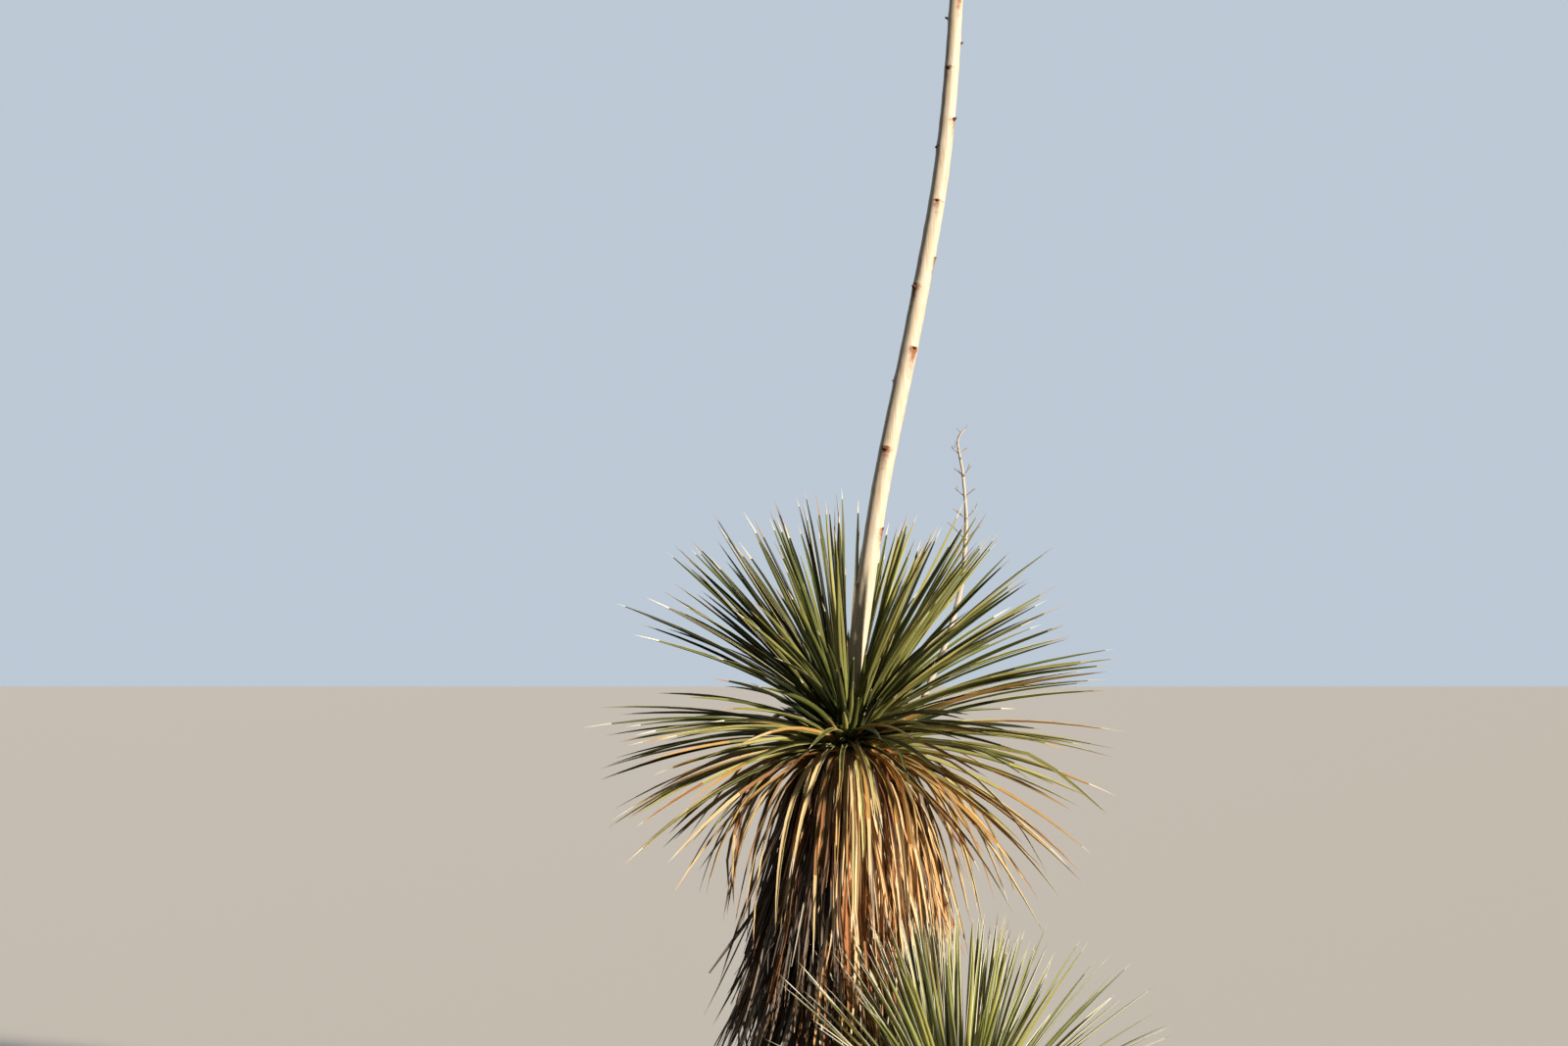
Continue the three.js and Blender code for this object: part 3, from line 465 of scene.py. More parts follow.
offsetCrown = dict(
    usualTier, count=100, firstIndex=458, layers=3, extraKept=(0.42, 0.9), foot=(180, 92),
    start=((86, 20), (87, 78)), end=((80, -16), (86, 80)), ease=(480, 440), length=(540, 604), tilt=3,
    halfWidth=6.8, bow=0.02, twist=0.5, roll=0.3, channel=0.42, keel=0.4, footSpread=6)

leafRules = dict(
    sink=5, groundClearance=8, shorten=0.93, shortenings=40, lengthSpread=0.09, turnSpread=2, swayWaves=5,
    liftWaves=3, steepest=-90, kinkRun=0.03, kinkTurn=26, kinkDown=6, kinkAt=(0.3, 0.75), wave=0.35, foot=1.4,
    layerIndex=1000, layerTurn=222.5, layerTilt=1.4, layerEase=(0.55, 1.05), shorterLayers=0.42,
    topThinned=(0.05, 0.6), neatFrom=(0.6, 0.9), crossingBow=2.6, crossingTo=(0.45, 0.7), front=(0.3, 0.75),
    frontLow=(0.35, 0.75), hungStart=-14, hungEnd=-88, hungEase=105, hungWidth=0.8, hungSpread=0.35,
    steepestHung=-92, clearOfStalk=0.93, stalkRoom=4, stalkShownFrom=1400, clearOfRods=0.6)


def between(entry, share, side):
    right, left = entry if np.ndim(entry) == 2 else (entry, entry)
    return mix(mix(*right, share), mix(*left, share), side)


def profileOf(plan, azimuth, foot, start, end, ease, length, kink, kinkAt):
    # In the leaf's upright plane: the slope goes from start to end as exp(-distance / ease), and turns by
    # kink past kinkAt. The line is the running sum of its steps.
    step = (length / pathSteps)[:, None]
    k = np.arange(pathSteps)[None, :] + 0.5
    slope = mix(end[:, None], start[:, None], np.exp(-k * step / ease[:, None]))
    bent = smoothstep(-leafRules["kinkRun"], leafRules["kinkRun"], k / pathSteps - kinkAt[:, None])
    slope = np.radians(slope + kink[:, None] * bent)
    way = np.stack([np.cos(azimuth), np.sin(azimuth)], axis=-1)
    off = plan["centre"] - plan["axis"](foot)
    inward = (off * way).sum(-1)
    face = -inward + np.sqrt(inward**2 - (off**2).sum(-1) + (plan["radius"](foot) + leafRules["sink"]) ** 2)
    nought = np.zeros((len(foot), 1))
    reach = face[:, None] + np.hstack([nought, np.cumsum(step * np.cos(slope), axis=1)])
    height = foot[:, None] + np.hstack([nought, np.cumsum(step * np.sin(slope), axis=1)])
    return reach, height


def gathered(azimuth, share, degreesOff, waves):
    # Leaves stand in loose bunches: azimuth + sway sin(waves azimuth + 4 share + 1.3)
    # + sway / 2 sin((2 waves + 1) azimuth - 7 share - 2).
    sway = math.radians(degreesOff)
    slow = np.sin(waves * azimuth + 1.3 + 4 * share)
    return azimuth + sway * slow + 0.5 * sway * np.sin((2 * waves + 1) * azimuth - 2 - 7 * share)


def clumped(angle, side, clumps):
    # leaves between two angles on one side of a tier lean together towards a third
    leaned = angle
    for clump in clumps:
        near = np.exp(-(((side - clump["side"]) / clump["spread"]) ** 2))
        steep = smoothstep(clump["low"], clump["low"] + clump["fadeIn"], angle)
        steep = steep * (1 - smoothstep(clump["high"] - clump["fadeOut"], clump["high"], angle))
        leaned = mix(leaned, clump["at"], clump["pull"] * near * steep)
    return leaned


def crossesStalk(points):
    # whether a leaf would hide the flower stalk from the front, just above the crown
    middle, radius = limbAt(flowerStalk, points[..., 2])
    beside = np.abs(points[..., 0] - middle[..., 0]) - radius < leafRules["stalkRoom"]
    return (beside & (points[..., 1] < 0) & (points[..., 2] > leafRules["stalkShownFrom"])).any(axis=1)


def placeLeaves(tier, plan):
    # the golden-angle spiral of the solids, and a further spiral for each further layer
    rules = leafRules
    number = np.tile(np.arange(tier["count"]), tier["layers"])
    layer = np.repeat(np.arange(tier["layers"]), tier["count"])
    index = tier["firstIndex"] + number + rules["layerIndex"] * layer
    turn = (tier["firstIndex"] + number) * goldenAngle + layer * rules["layerTurn"]
    turn = turn + rules["turnSpread"] * swing(index, 1)
    share = np.minimum((number + 0.5 + layer / tier["layers"]) / tier["count"], 1)
    azimuth = gathered(np.radians(turn % 360), share, tier["sway"], rules["swayWaves"])
    side = plan["side"](azimuth)
    thinned = smoothstep(*rules["topThinned"], share) if tier["thinTop"] else 1
    kept = (layer == 0) | (chance(index, 18) < mix(*tier["extraKept"], side) * thinned)
    return [value[kept] for value in (layer > 0, index, share, azimuth, side)]


def growLeaves(tier, plan, obstacles=()):
    # The rule of the solids for each leaf, then the same rule with more freedom for the further layers. A
    # leaf's line bows aside by bow s^2 + wave s sin(2 pi s), s its share of the length, and its blade turns
    # about the line by roll + twist s.
    rules = leafRules
    extra, index, share, azimuth, side = placeLeaves(tier, plan)
    foot, start, end, ease, length = (
        between(tier[key], share, side) for key in ("foot", "start", "end", "ease", "length"))
    foot = foot + np.where(extra, tier["footSpread"] * swing(index, 22), 0)
    neat = tier["neatLeft"] * smoothstep(*rules["neatFrom"], side)
    tilt = tier["tilt"] * swing(index, 2) * np.where(extra, rules["layerTilt"] * (1 - neat), 1)
    tilt = tilt + np.degrees(gathered(azimuth, share, tier["lift"], rules["liftWaves"]) - azimuth)
    start, end = (clumped(angle, side, tier["clumps"]) for angle in (start, end))
    start = start + tilt
    end = np.maximum(rules["steepest"], end + tilt + tier["tilt"] * swing(index, 3))
    facing = smoothstep(*rules["front"], -np.sin(azimuth)) * smoothstep(*rules["frontLow"], share)
    hung = chance(index, 19) < tier["frontHung"] * facing
    freely = varied(rules["hungSpread"], index, 20)
    start = np.where(hung, rules["hungStart"] * freely, start)
    end = np.maximum(rules["steepestHung"], np.where(hung, rules["hungEnd"] * freely, end))
    ease = np.where(hung, rules["hungEase"] * freely, ease)
    length = length * varied(rules["lengthSpread"], index, 4)
    ease = ease * varied(tier["easeSpread"], index, 5)
    if tier["kinked"]:
        length = length * np.where(extra, 1 - rules["shorterLayers"] * chance(index, 12), 1)
        ease = ease * np.where(extra, draw(rules["layerEase"], index, 13), 1)
    kink = rules["kinkTurn"] * swing(index, 15) - rules["kinkDown"]
    kink = np.where(chance(index, 14) < tier["kinked"], kink, 0.0)
    kinkAt = draw(rules["kinkAt"], index, 16)
    for _ in range(rules["shortenings"]):
        reach, height = profileOf(plan, azimuth, foot, start, end, ease, length, kink, kinkAt)
        low = height.min(axis=1) < rules["groundClearance"]
        if not low.any():
            break
        length = np.where(low, length * rules["shorten"], length)
    out, aside = (way[:, None] for way in levelWays(azimuth))
    s = np.linspace(0, 1, pathSteps + 1)[None, :, None]
    crossing = extra & (chance(index, 24) < tier["crossing"] * (1 - smoothstep(*rules["crossingTo"], side)))
    bow = tier["bow"] * swing(index, 6) * length * np.where(crossing, rules["crossingBow"], 1)
    wave = rules["wave"] * tier["bow"] * swing(index, 17) * length
    bowed = bow[:, None, None] * s**2 + wave[:, None, None] * s * np.sin(fullTurn * s)
    points = reach[..., None] * out + aside * bowed
    points[..., 0] += plan["centre"][0]
    points[..., 1] += plan["centre"][1]
    points[..., 2] = height
    across, up = framesAlong(points, aside)
    roll, twist = tier["roll"] * swing(index, 8), tier["twist"] * swing(index, 7)
    angle = roll[:, None, None] + twist[:, None, None] * s
    halfWidth = tier["halfWidth"] * varied(tier["widthSpread"], index, 9)
    same = np.ones(len(index))
    leaves = {"index": index, "share": share, "hung": hung, "side": side, "azimuth": azimuth,
              "length": length, "points": points, "across": np.cos(angle) * across + np.sin(angle) * up,
              "up": np.cos(angle) * up - np.sin(angle) * across,
              "halfWidth": halfWidth * np.where(hung, rules["hungWidth"], 1),
              "footWide": rules["foot"] * same, "channel": tier["channel"] * same,
              "keel": tier["keel"] * same}
    keep = chance(index, 21) < mix(1.0, tier["frontKept"], facing)
    keep &= ~(crossesStalk(points) & (chance(index, 23) < rules["clearOfStalk"]))
    for line, radius in obstacles:
        gap = np.linalg.norm(points[:, 2::3, None] - line[None, None], axis=-1) - radius
        keep &= gap.min(axis=(1, 2)) > tier["halfWidth"] * rules["clearOfRods"]
    return pickLeaves(leaves, keep)


def pickLeaves(leaves, keep):
    return {key: value[keep] for key, value in leaves.items()}


def joinLeaves(groups):
    return {key: np.concatenate([group[key] for group in groups]) for key in groups[0]}


def along(leaves, key, s):
    # the value of a leaf's line at shares s of its length, between its two nearest places
    place = np.clip(s, 0, 1) * pathSteps
    low = np.minimum(place.astype(int), pathSteps - 1)
    rest = (place - low)[..., None]
    row = np.arange(len(s))[:, None]
    return leaves[key][row, low] * (1 - rest) + leaves[key][row, low + 1] * rest


# Corners of a blade's section as (across, channel, keel): two margins, a keel below and the channel above
blade = dict(
    footRun=0.06, narrowing=0.25, tipPower=5, section=np.array([(-1, 1, 0), (-0.5, 0, 0.62), (0, 0, 1),
    (0.5, 0, 0.62), (1, 1, 0), (0, 0, 0.12)]))


def bladeHalfWidth(leaves, s):
    # wide where the foot clasps the stem, by footWide exp(-s / footRun), then narrowing slowly by
    # narrowing s, and faster towards the point by (1 - narrowing) s ^ tipPower
    foot = 1 + leaves["footWide"][:, None] * np.exp(-s / blade["footRun"])
    point = (1 - blade["narrowing"]) * np.clip(s, 0, 1) ** blade["tipPower"]
    return leaves["halfWidth"][:, None] * foot * (1 - blade["narrowing"] * s - point)


def bladePart(leaves, start, stop, rings):
    # A stretch of each leaf from start to stop, as shares of its length. It ends in a point where stop is 1.
    # Each corner lies at middle + w (across * a + up * (b channel - c keel)), with w the half width.
    pointed = bool(np.all(stop >= 1))
    steps = np.linspace(0, 1, rings + 1 if pointed else rings)
    s = start[:, None] + (stop - start)[:, None] * steps[None, :]
    tips = along(leaves, "points", s)[:, -1] if pointed else None
    s = s[:, :rings]
    middle, across, up = (along(leaves, key, s)[:, :, None] for key in ("points", "across", "up"))
    width = bladeHalfWidth(leaves, s)[:, :, None, None]
    a, b, c = (blade["section"][None, None, :, k:k + 1] for k in range(3))
    channel, keel = (leaves[key][:, None, None, None] for key in ("channel", "keel"))
    ringsAt = middle + width * (across * a + up * (b * channel - c * keel))
    return ringsAt, tips, s * leaves["length"][:, None]


def rodPart(lines, radii, sides, aside):
    # round rods: middle + radius (cos turn * side + sin turn * third way)
    side, third = framesAlong(lines, np.asarray(aside))
    turn = ringTurns(sides)[:, None]
    rings = (lines[:, :, None] + radii[:, :, None, None]
             * (np.cos(turn) * side[:, :, None] + np.sin(turn) * third[:, :, None]))
    run = np.linalg.norm(np.diff(lines, axis=1), axis=-1).cumsum(axis=1)
    return rings, None, np.hstack([np.zeros((len(lines), 1)), run])


# The nodes that each kind of piece stands for
crownNodes = [f"crown_{tier}_{k}" for tier in ("upper", "lower") for k in range(1, 9)]
skirtNodes = [f"skirt_{tier}_{k}" for tier in ("upper", "lower") for k in range(1, 9)]
offsetNodes = [f"offset_crown_{k}" for k in range(1, 7)]
headNodes = [f"head_branch_{k:02d}" for k in range(1, 15)]


def dealOut(index, purpose, weights):
    # the number of the finish that each leaf draws, with weights as leaves x finishes
    edges = np.cumsum(weights, axis=1) / weights.sum(axis=1, keepdims=True)
    return np.minimum((chance(index, purpose)[:, None] > edges).sum(axis=1), weights.shape[1] - 1)


def sideWeights(deal, side):
    return np.stack([mix(*shares, side) for shares in deal.values()], axis=1)


def addStretch(parts, key, leaves, keep, start, stop, rings):
    if keep.any():
        parts.setdefault(key, []).append(bladePart(pickLeaves(leaves, keep), start[keep], stop[keep], rings))


def leafPieces(group, kind, parts, finishes, nodes, bump=0.25):
    # a piece of each finish: (slot, roughness, light tone, and a dark one where it is streaked)
    for name, (slot, *look) in finishes.items():
        sharpAt = rodEdge if name in ("margins", "threads") else softEdge
        meshPiece(f"{group}_{name}", parts[name], leafBlade(f"{kind}_{name}", *look, bump=bump), nodes,
                  sharpAt)


def addFibres(parts, leaves, footEnd, tipStart, look):
    # the pale cords along the margins, and the threads that come loose from them
    parts["margins"] = marginRods(leaves, footEnd * look["marginFrom"], tipStart, look["marginRings"],
                                  look["marginRadius"])
    parts["threads"] = [curlingThreads(leaves, look["threads"], look["firstThread"], look["threadRadius"])]


fibres = dict(
    thinning=0.5, sides=3, aside=(0.31, 0.87, 0.38), rootAt=(0.03, 0.5), rootPower=1.5, turns=(0.3, 1.2),
    curl=(2, 7), reach=(8, 26), drop=9, places=13)


def marginRods(leaves, start, stop, rings, radius):
    # a thin cord along each margin: middle +- across * w + up * channel * w
    s = start[:, None] + (stop - start)[:, None] * np.linspace(0, 1, rings)[None, :]
    middle, across, up = (along(leaves, key, s) for key in ("points", "across", "up"))
    width = bladeHalfWidth(leaves, s)[..., None]
    radii = radius * (1 - fibres["thinning"] * s)
    raised = up * leaves["channel"][:, None, None] * width
    return [rodPart(middle + way * across * width + raised, radii, fibres["sides"], up) for way in (-1, 1)]


def curlingThreads(leaves, count, firstSeed, radius):
    # Loose fibres of the margins: root + out * reach * t + curl (1 - cos, sin)(2 pi turns t), growing with t,
    # and sinking by drop t^2.
    seed = firstSeed + np.arange(count)
    chosen = pickLeaves(leaves, (chance(seed, 41) * len(leaves["index"])).astype(int))
    s = mix(*fibres["rootAt"], chance(seed, 42) ** fibres["rootPower"])[:, None]
    middle, across, up = (along(chosen, key, s) for key in ("points", "across", "up"))
    way = np.where(chance(seed, 43) < 0.5, -1.0, 1.0)[:, None, None]
    root = middle + way * across * bladeHalfWidth(chosen, s)[..., None]
    t = np.linspace(0, 1, fibres["places"])[None, :, None]
    turns, curl, reach = (
        draw(fibres[key], seed, 44 + k)[:, None, None] for k, key in enumerate(("turns", "curl", "reach")))
    turn = turns * fullTurn * t
    curled = curl * t * ((1 - np.cos(turn)) * up + np.sin(turn) * np.cross(across, up))
    lines = root + way * across * (reach * t) + curled
    lines[..., 2] -= (fibres["drop"] * t**2)[..., 0]
    radii = radius * (1 - fibres["thinning"] * t[..., 0]) * np.ones((count, 1))
    return rodPart(lines, radii, fibres["sides"], unit(np.array(fibres["aside"])))


# Trunk and the stem of the offset

def trunkSurface():
    # radius = trunkRadius(z) (1 + lobes) + scars, where the scars of old leaves make a slanting lattice,
    # cos(n turn / 2 + k z) cos(n turn / 2 - k z), roughened by three waves that don't repeat together
    z = np.linspace(0, trunk["top"], trunk["rings"])[:, None]
    turn = ringTurns(trunk["sides"])[None, :]
    lobe = 1 + trunk["lobeDepth"] * np.exp(-z / trunk["lobeHeight"]) * np.cos(trunk["lobes"] * turn)
    k = math.pi / trunk["scarHeight"]
    n = trunk["scarsRound"]
    scars = np.cos(n * turn / 2 + k * z) * np.cos(n * turn / 2 - k * z)
    rough = sum(np.sin(count * turn + z / run + phase) for count, run, phase in trunk["roughWaves"])
    relief = trunk["scarRelief"] * (np.abs(scars) - trunk["scarMiddle"]) + trunk["roughness"] * rough
    radius = trunkRadius(z) * lobe + smoothstep(0, trunk["tipFade"], trunk["top"] - z) * relief
    axis = trunkAxis(z)
    rings = np.stack([axis[..., 0] + radius * np.cos(turn), radius * np.sin(turn), z + 0 * turn], axis=-1)
    return rings[None], None, z.reshape(1, -1)


def unevenRod(limb, aside, unevenness):
    # a round limb whose corners are moved out from its middle by unevenness(turn, run)
    line, radius = limbLine(limb, limb["rings"])
    rings, _, lengthwise = rodPart(line[None], radius[None], limb["sides"], aside)
    middle = rings.mean(axis=2, keepdims=True)
    factor = unevenness(ringTurns(limb["sides"]), lengthwise[0][:, None])
    return middle + (rings - middle) * factor[None, ..., None], None, lengthwise


def offsetRelief(turn, run):
    # the scars of old leaves, as two waves that cross
    return 1 + offsetStem["roughness"] * np.sin(9 * turn + run / 11) * np.sin(5 * turn - run / 17)


def poleRelief(turn, run):
    # a little out of round, and not evenly so along the pole
    return 1 + 0.05 * np.sin(2 * turn + run / 31) + 0.04 * np.sin(5 * turn - run / 13)


def offsetStemSurface():
    # an uneven rod, cut flat at the ground
    rings, tips, lengthwise = unevenRod(offsetStem, (0.0, 0.0, 1.0), offsetRelief)
    rings[..., 2] = np.maximum(rings[..., 2], 0)
    return rings, tips, lengthwise


bark = barkCover("bark_of_old_leaf_bases", "#4a3a2d", "#7d6a55")
meshPiece("trunk_bark", [trunkSurface()], bark, ["trunk"], rodEdge)
meshPiece("offset_stem_bark", [offsetStemSurface()], bark, ["offset_stem"], rodEdge)
print("trunk and offset stem made")


# The flower stalk with its bract stubs

bracts = dict(
    count=22, low=1560, high=3290, packing=0.8, firstTurn=200, length=12, lengthSpread=0.35, halfWidth=8.5,
    widthSpread=0.2, footWide=0.2, channel=0.55, keel=0.3, rise=60, riseSpread=14, curve=0.3, sink=1.5,
    drop=4, rings=6)
stains = dict(
    length=62, width=0.7, narrowing=0.5, narrowAt=120, above=7, strength=(0.5, 1.15), scar=0.6,
    scarHeight=2.6, scarWidth=1.1, weather=0.1, paintedShadeSide=0.4, paintedShadeFrom=(0.2, 1.0), weatherRun=140)


def bractPlaces():
    n = np.arange(bracts["count"])
    z = mix(bracts["low"], bracts["high"], (n / (bracts["count"] - 1)) ** bracts["packing"])
    return n, z, np.radians(n * goldenAngle + bracts["firstTurn"])


def stalkSurface():
    # A tapering rod with shallow grooves and a swelling at each bract. The stain and the grey mask are worked
    # out for each corner: stain runs down from a bract as exp(-(turn / width)^2) exp(-drop / length), a thin
    # scar runs halfway round at its foot, and the grey mask is a little weathering all round plus painted
    # shade on the -X side, which the key light leaves dark.
    stalk = flowerStalk
    line, radius = limbLine(stalk, stalk["rings"])
    turn = ringTurns(stalk["sides"])
    z = line[:, 2][:, None]
    n, at, facing = bractPlaces()
    away = (turn[None, :, None] - facing[None, None, :] + math.pi) % fullTurn - math.pi
    drop = at[None, None, :] - z[:, :, None]
    around = mix(stalk["swellingRound"], 1, np.exp(-(away / stalk["swellingWidth"]) ** 2))
    near = np.exp(-(drop / stalk["swellingHeight"]) ** 2) * around
    groove = 1 + stalk["grooveDepth"] * np.sin(stalk["grooves"] * turn[None, :] + z / stalk["grooveRun"])
    middle = line[:, None]
    rings = rodPart(line[None], radius[None], stalk["sides"], (1.0, 0.0, 0.0))[0][0]
    grown = groove + stalk["swelling"] * near.sum(axis=2) / radius[:, None]
    rings = middle + (rings - middle) * grown[..., None]
    width = stains["width"] * (1 - stains["narrowing"] * np.clip(drop / stains["narrowAt"], 0, 1))
    below = np.where(drop > -stains["above"], np.exp(-np.maximum(drop, 0) / stains["length"]), 0)
    stain = np.exp(-(away / width) ** 2) * below * draw(stains["strength"], n, 51)
    scar = np.exp(-(drop / stains["scarHeight"]) ** 2) * np.exp(-(away / stains["scarWidth"]) ** 4)
    stain = np.clip(np.maximum(stain, stains["scar"] * scar).sum(axis=2), 0, 1)
    # painted shade: more grey on the -X side, away from the key light
    facingLeft = smoothstep(*stains["paintedShadeFrom"], -np.cos(turn))[None, :]
    uneven = 0.6 + 0.4 * np.sin(z / stains["weatherRun"])
    weather = stains["weather"] + stains["paintedShadeSide"] * facingLeft * uneven
    return (rings[None], None, runAlong(line)[None]), {"stain": stain, "weather": weather}


def bractLeaves():
    # short leaves that start just inside the rind: out * length s cos(lean) + up * length s sin(lean), with
    # lean = rise - curve s
    n, z, turn = bractPlaces()
    point, radius = limbAt(flowerStalk, z)
    out, aside = levelWays(turn)
    length = bracts["length"] * varied(bracts["lengthSpread"], n, 52)
    rise = np.radians(bracts["rise"] + bracts["riseSpread"] * swing(n, 53))[:, None]
    s = np.linspace(0, 1, pathSteps + 1)[None, :]
    lean = rise - bracts["curve"] * s
    step = length[:, None] * s
    foot = (point + out * (radius - bracts["sink"])[:, None])[:, None]
    points = foot + (step * np.cos(lean))[..., None] * out[:, None]
    points[..., 2] += step * np.sin(lean) - bracts["drop"]
    across, up = framesAlong(points, aside[:, None])
    same = np.ones(len(n))
    return {"length": length, "points": points, "across": across, "up": up,
            "halfWidth": bracts["halfWidth"] * varied(bracts["widthSpread"], n, 54),
            **{key: bracts[key] * same for key in ("footWide", "channel", "keel")}}


# the last colour is the grey of weathering and of the painted shade on the stalk's -X side
rind = driedStalk("dried_stalk_rind", "#ddd2bd", "#cbb392", "#8f5730", "#8d7f6e")
oldRind = driedStalk("old_stalk_rind", "#d9d2c4", "#bfb4a2", "#5e4a3a", "#8f8474")
twigRind = leafBlade("dried_twig_rind", 0.7, "#d8c49b", "#b59d74", fibre=1.5)
bractScale = leafBlade("bract_scale", 0.8, "#6b4a36", "#35241b", fibre=1.2)

stalkPart, stalkMarks = stalkSurface()
meshPiece("flower_stalk_rind", [stalkPart], rind, ["flower_stalk"], rodEdge, stalkMarks)
everyBract = np.ones(bracts["count"])
bractPart = bladePart(bractLeaves(), 0 * everyBract, everyBract, bracts["rings"])
meshPiece("flower_stalk_bracts", [bractPart], bractScale, ["flower_stalk"])
print("flower stalk made")


# The flower head: bare branches with twigs, and the stubs that held the flowers

head = dict(
    count=14, low=3330, high=4235, turnSpread=15, rise=48, turnUp=16, longest=250, shortest=60,
    shortening=1.2, lengthSpread=0.15, radius=6, tipRadius=2, sides=8, steps=24, wiggle=2.0, wiggles=9,
    wiggleFrom=0.2)
headTwig = dict(
    most=3, fewest=2, at=(0.42, 0.9), droop=10, ahead=0.75, length=42, shortening=0.4, radii=(2.2, 1.32),
    sides=6, bend=0.06)
headStub = dict(
    count=11, at=(0.2, 1.0), onTwigs=0.5, alongTwig=(0.25, 1.0), rise=(15, 70), length=17, lengths=(0.5, 1.0),
    shortening=0.3, radii=(1.1, 0.77), sides=5, bend=0.08)


def rodsBetween(roots, tips, look, steps=4):
    # root + (tip - root) t, sagging sideways by bend * length * sin(pi t)
    t = np.linspace(0, 1, steps)[None, :, None]
    way = tips - roots
    sag = np.cross(way, np.array([0.0, 0.0, 1.0]))[:, None] * look["bend"] * np.sin(math.pi * t)
    lines = roots[:, None] + way[:, None] * t + sag
    radii = np.broadcast_to(mix(*look["radii"], t[..., 0]), lines.shape[:2])
    return rodPart(lines, radii, look["sides"], (0.13, 0.21, 0.97))


def shoots(starts, turn, seed, purpose, look, shortened=1):
    # rods that leave their starts at a turn, with a rise and a length drawn between two bounds
    length = look["length"] * draw(look["lengths"], seed, purpose + 1) * shortened
    ends = starts + aim(turn, np.radians(draw(look["rise"], seed, purpose))) * length[:, None]
    return rodsBetween(starts, ends, look)


def headBranch(number):
    # One branch: a smooth line through its foot, middle and end, which wiggles aside, with twigs to both
    # sides in turn and stubs that stand on it and on them.
    share = number / (head["count"] - 1)
    point = limbAt(flowerStalk, mix(head["low"], head["high"], share))[0]
    turn = np.radians(number * goldenAngle + head["turnSpread"] * swing(number, 11))
    length = mix(head["longest"], head["shortest"], share ** head["shortening"])
    length = length * varied(head["lengthSpread"], number, 12)
    halfway = point + aim(turn, math.radians(head["rise"])) * length / 2
    end = halfway + aim(turn, math.radians(head["rise"] + head["turnUp"])) * length / 2
    steps = head["steps"]
    line = smoothLine([point, halfway, end], steps)
    t = np.linspace(0, 1, steps + 1)
    aside = np.array([-math.sin(turn), math.cos(turn), 0.0])
    wiggle = head["wiggle"] * np.sin(head["wiggles"] * math.pi * t) * smoothstep(0, head["wiggleFrom"], t)
    line = line + aside * wiggle[:, None]
    foot = mix(head["radius"], head["radius"] / 2, share)
    branch = rodPart(line[None], mix(foot, head["tipRadius"], t)[None], head["sides"], aside)
    count = round(mix(headTwig["most"], headTwig["fewest"], share))
    k = np.arange(count)
    roots = line[(mix(*headTwig["at"], (k + 0.5) / count) * steps).astype(int)]
    way = aim(turn, math.radians(head["rise"] - headTwig["droop"])) * headTwig["ahead"]
    way = way + aside * np.where(k % 2, 1, -1)[:, None]
    ends = roots + unit(way) * headTwig["length"] * (1 - headTwig["shortening"] * share)
    twigs = rodsBetween(roots, ends, headTwig)
    seed = 40 * number + np.arange(headStub["count"])
    onBranch = line[(draw(headStub["at"], seed, 61) * steps).astype(int)]
    pick = (chance(seed, 64) * count).astype(int)
    shareOfTwig = draw(headStub["alongTwig"], seed, 62)[:, None]
    onTwig = mix(twigs[0][pick, 0].mean(axis=1), ends[pick], shareOfTwig)
    starts = np.where((chance(seed, 63) < headStub["onTwigs"])[:, None], onTwig, onBranch)
    shortened = 1 - headStub["shortening"] * share
    return branch, twigs, shoots(starts, fullTurn * chance(seed, 65), seed, 66, headStub, shortened)


headBranches, headTwigs, headStubs = zip(*[headBranch(number) for number in range(head["count"])])
meshPiece("head_branches", headBranches, twigRind, headNodes, rodEdge)
meshPiece("head_twigs", headTwigs + headStubs, twigRind, headNodes, rodEdge)
print("flower head made")


# The old stalk: an off-white pole with dark joints and short bare twigs

oldJoint = dict(
    count=12, onPole=3, poleStep=0.1, poleSpread=0.3, aboveTwigs=0.8, aboveStep=0.04, height=10,
    heightSpread=0.5, ends=0.8, radius=1.1, radiusSpread=0.09, twigJoint=1.12, rings=5, sides=12)
oldTwig = dict(
    pairs=5, at=(0.13, 0.79), turnSpread=32, rise=38, riseSpread=10, longest=58, shortest=30,
    lengthSpread=0.2, radii=(1.7, 0.9), sides=7, bend=0.07, steps=7)
subTwig = dict(
    layers=2, at=(0.35, 0.95), turnSpread=1.5, rise=(20, 75), length=20, lengths=(0.5, 1.0), radii=(0.9, 0.6),
    sides=5, bend=0.1)
topTwig = dict(
    count=5, step=0.04, firstTurn=30, rise=(25, 75), length=24, lengths=(0.4, 1.0), radii=(1.3, 0.5), sides=5,
    bend=0.12)


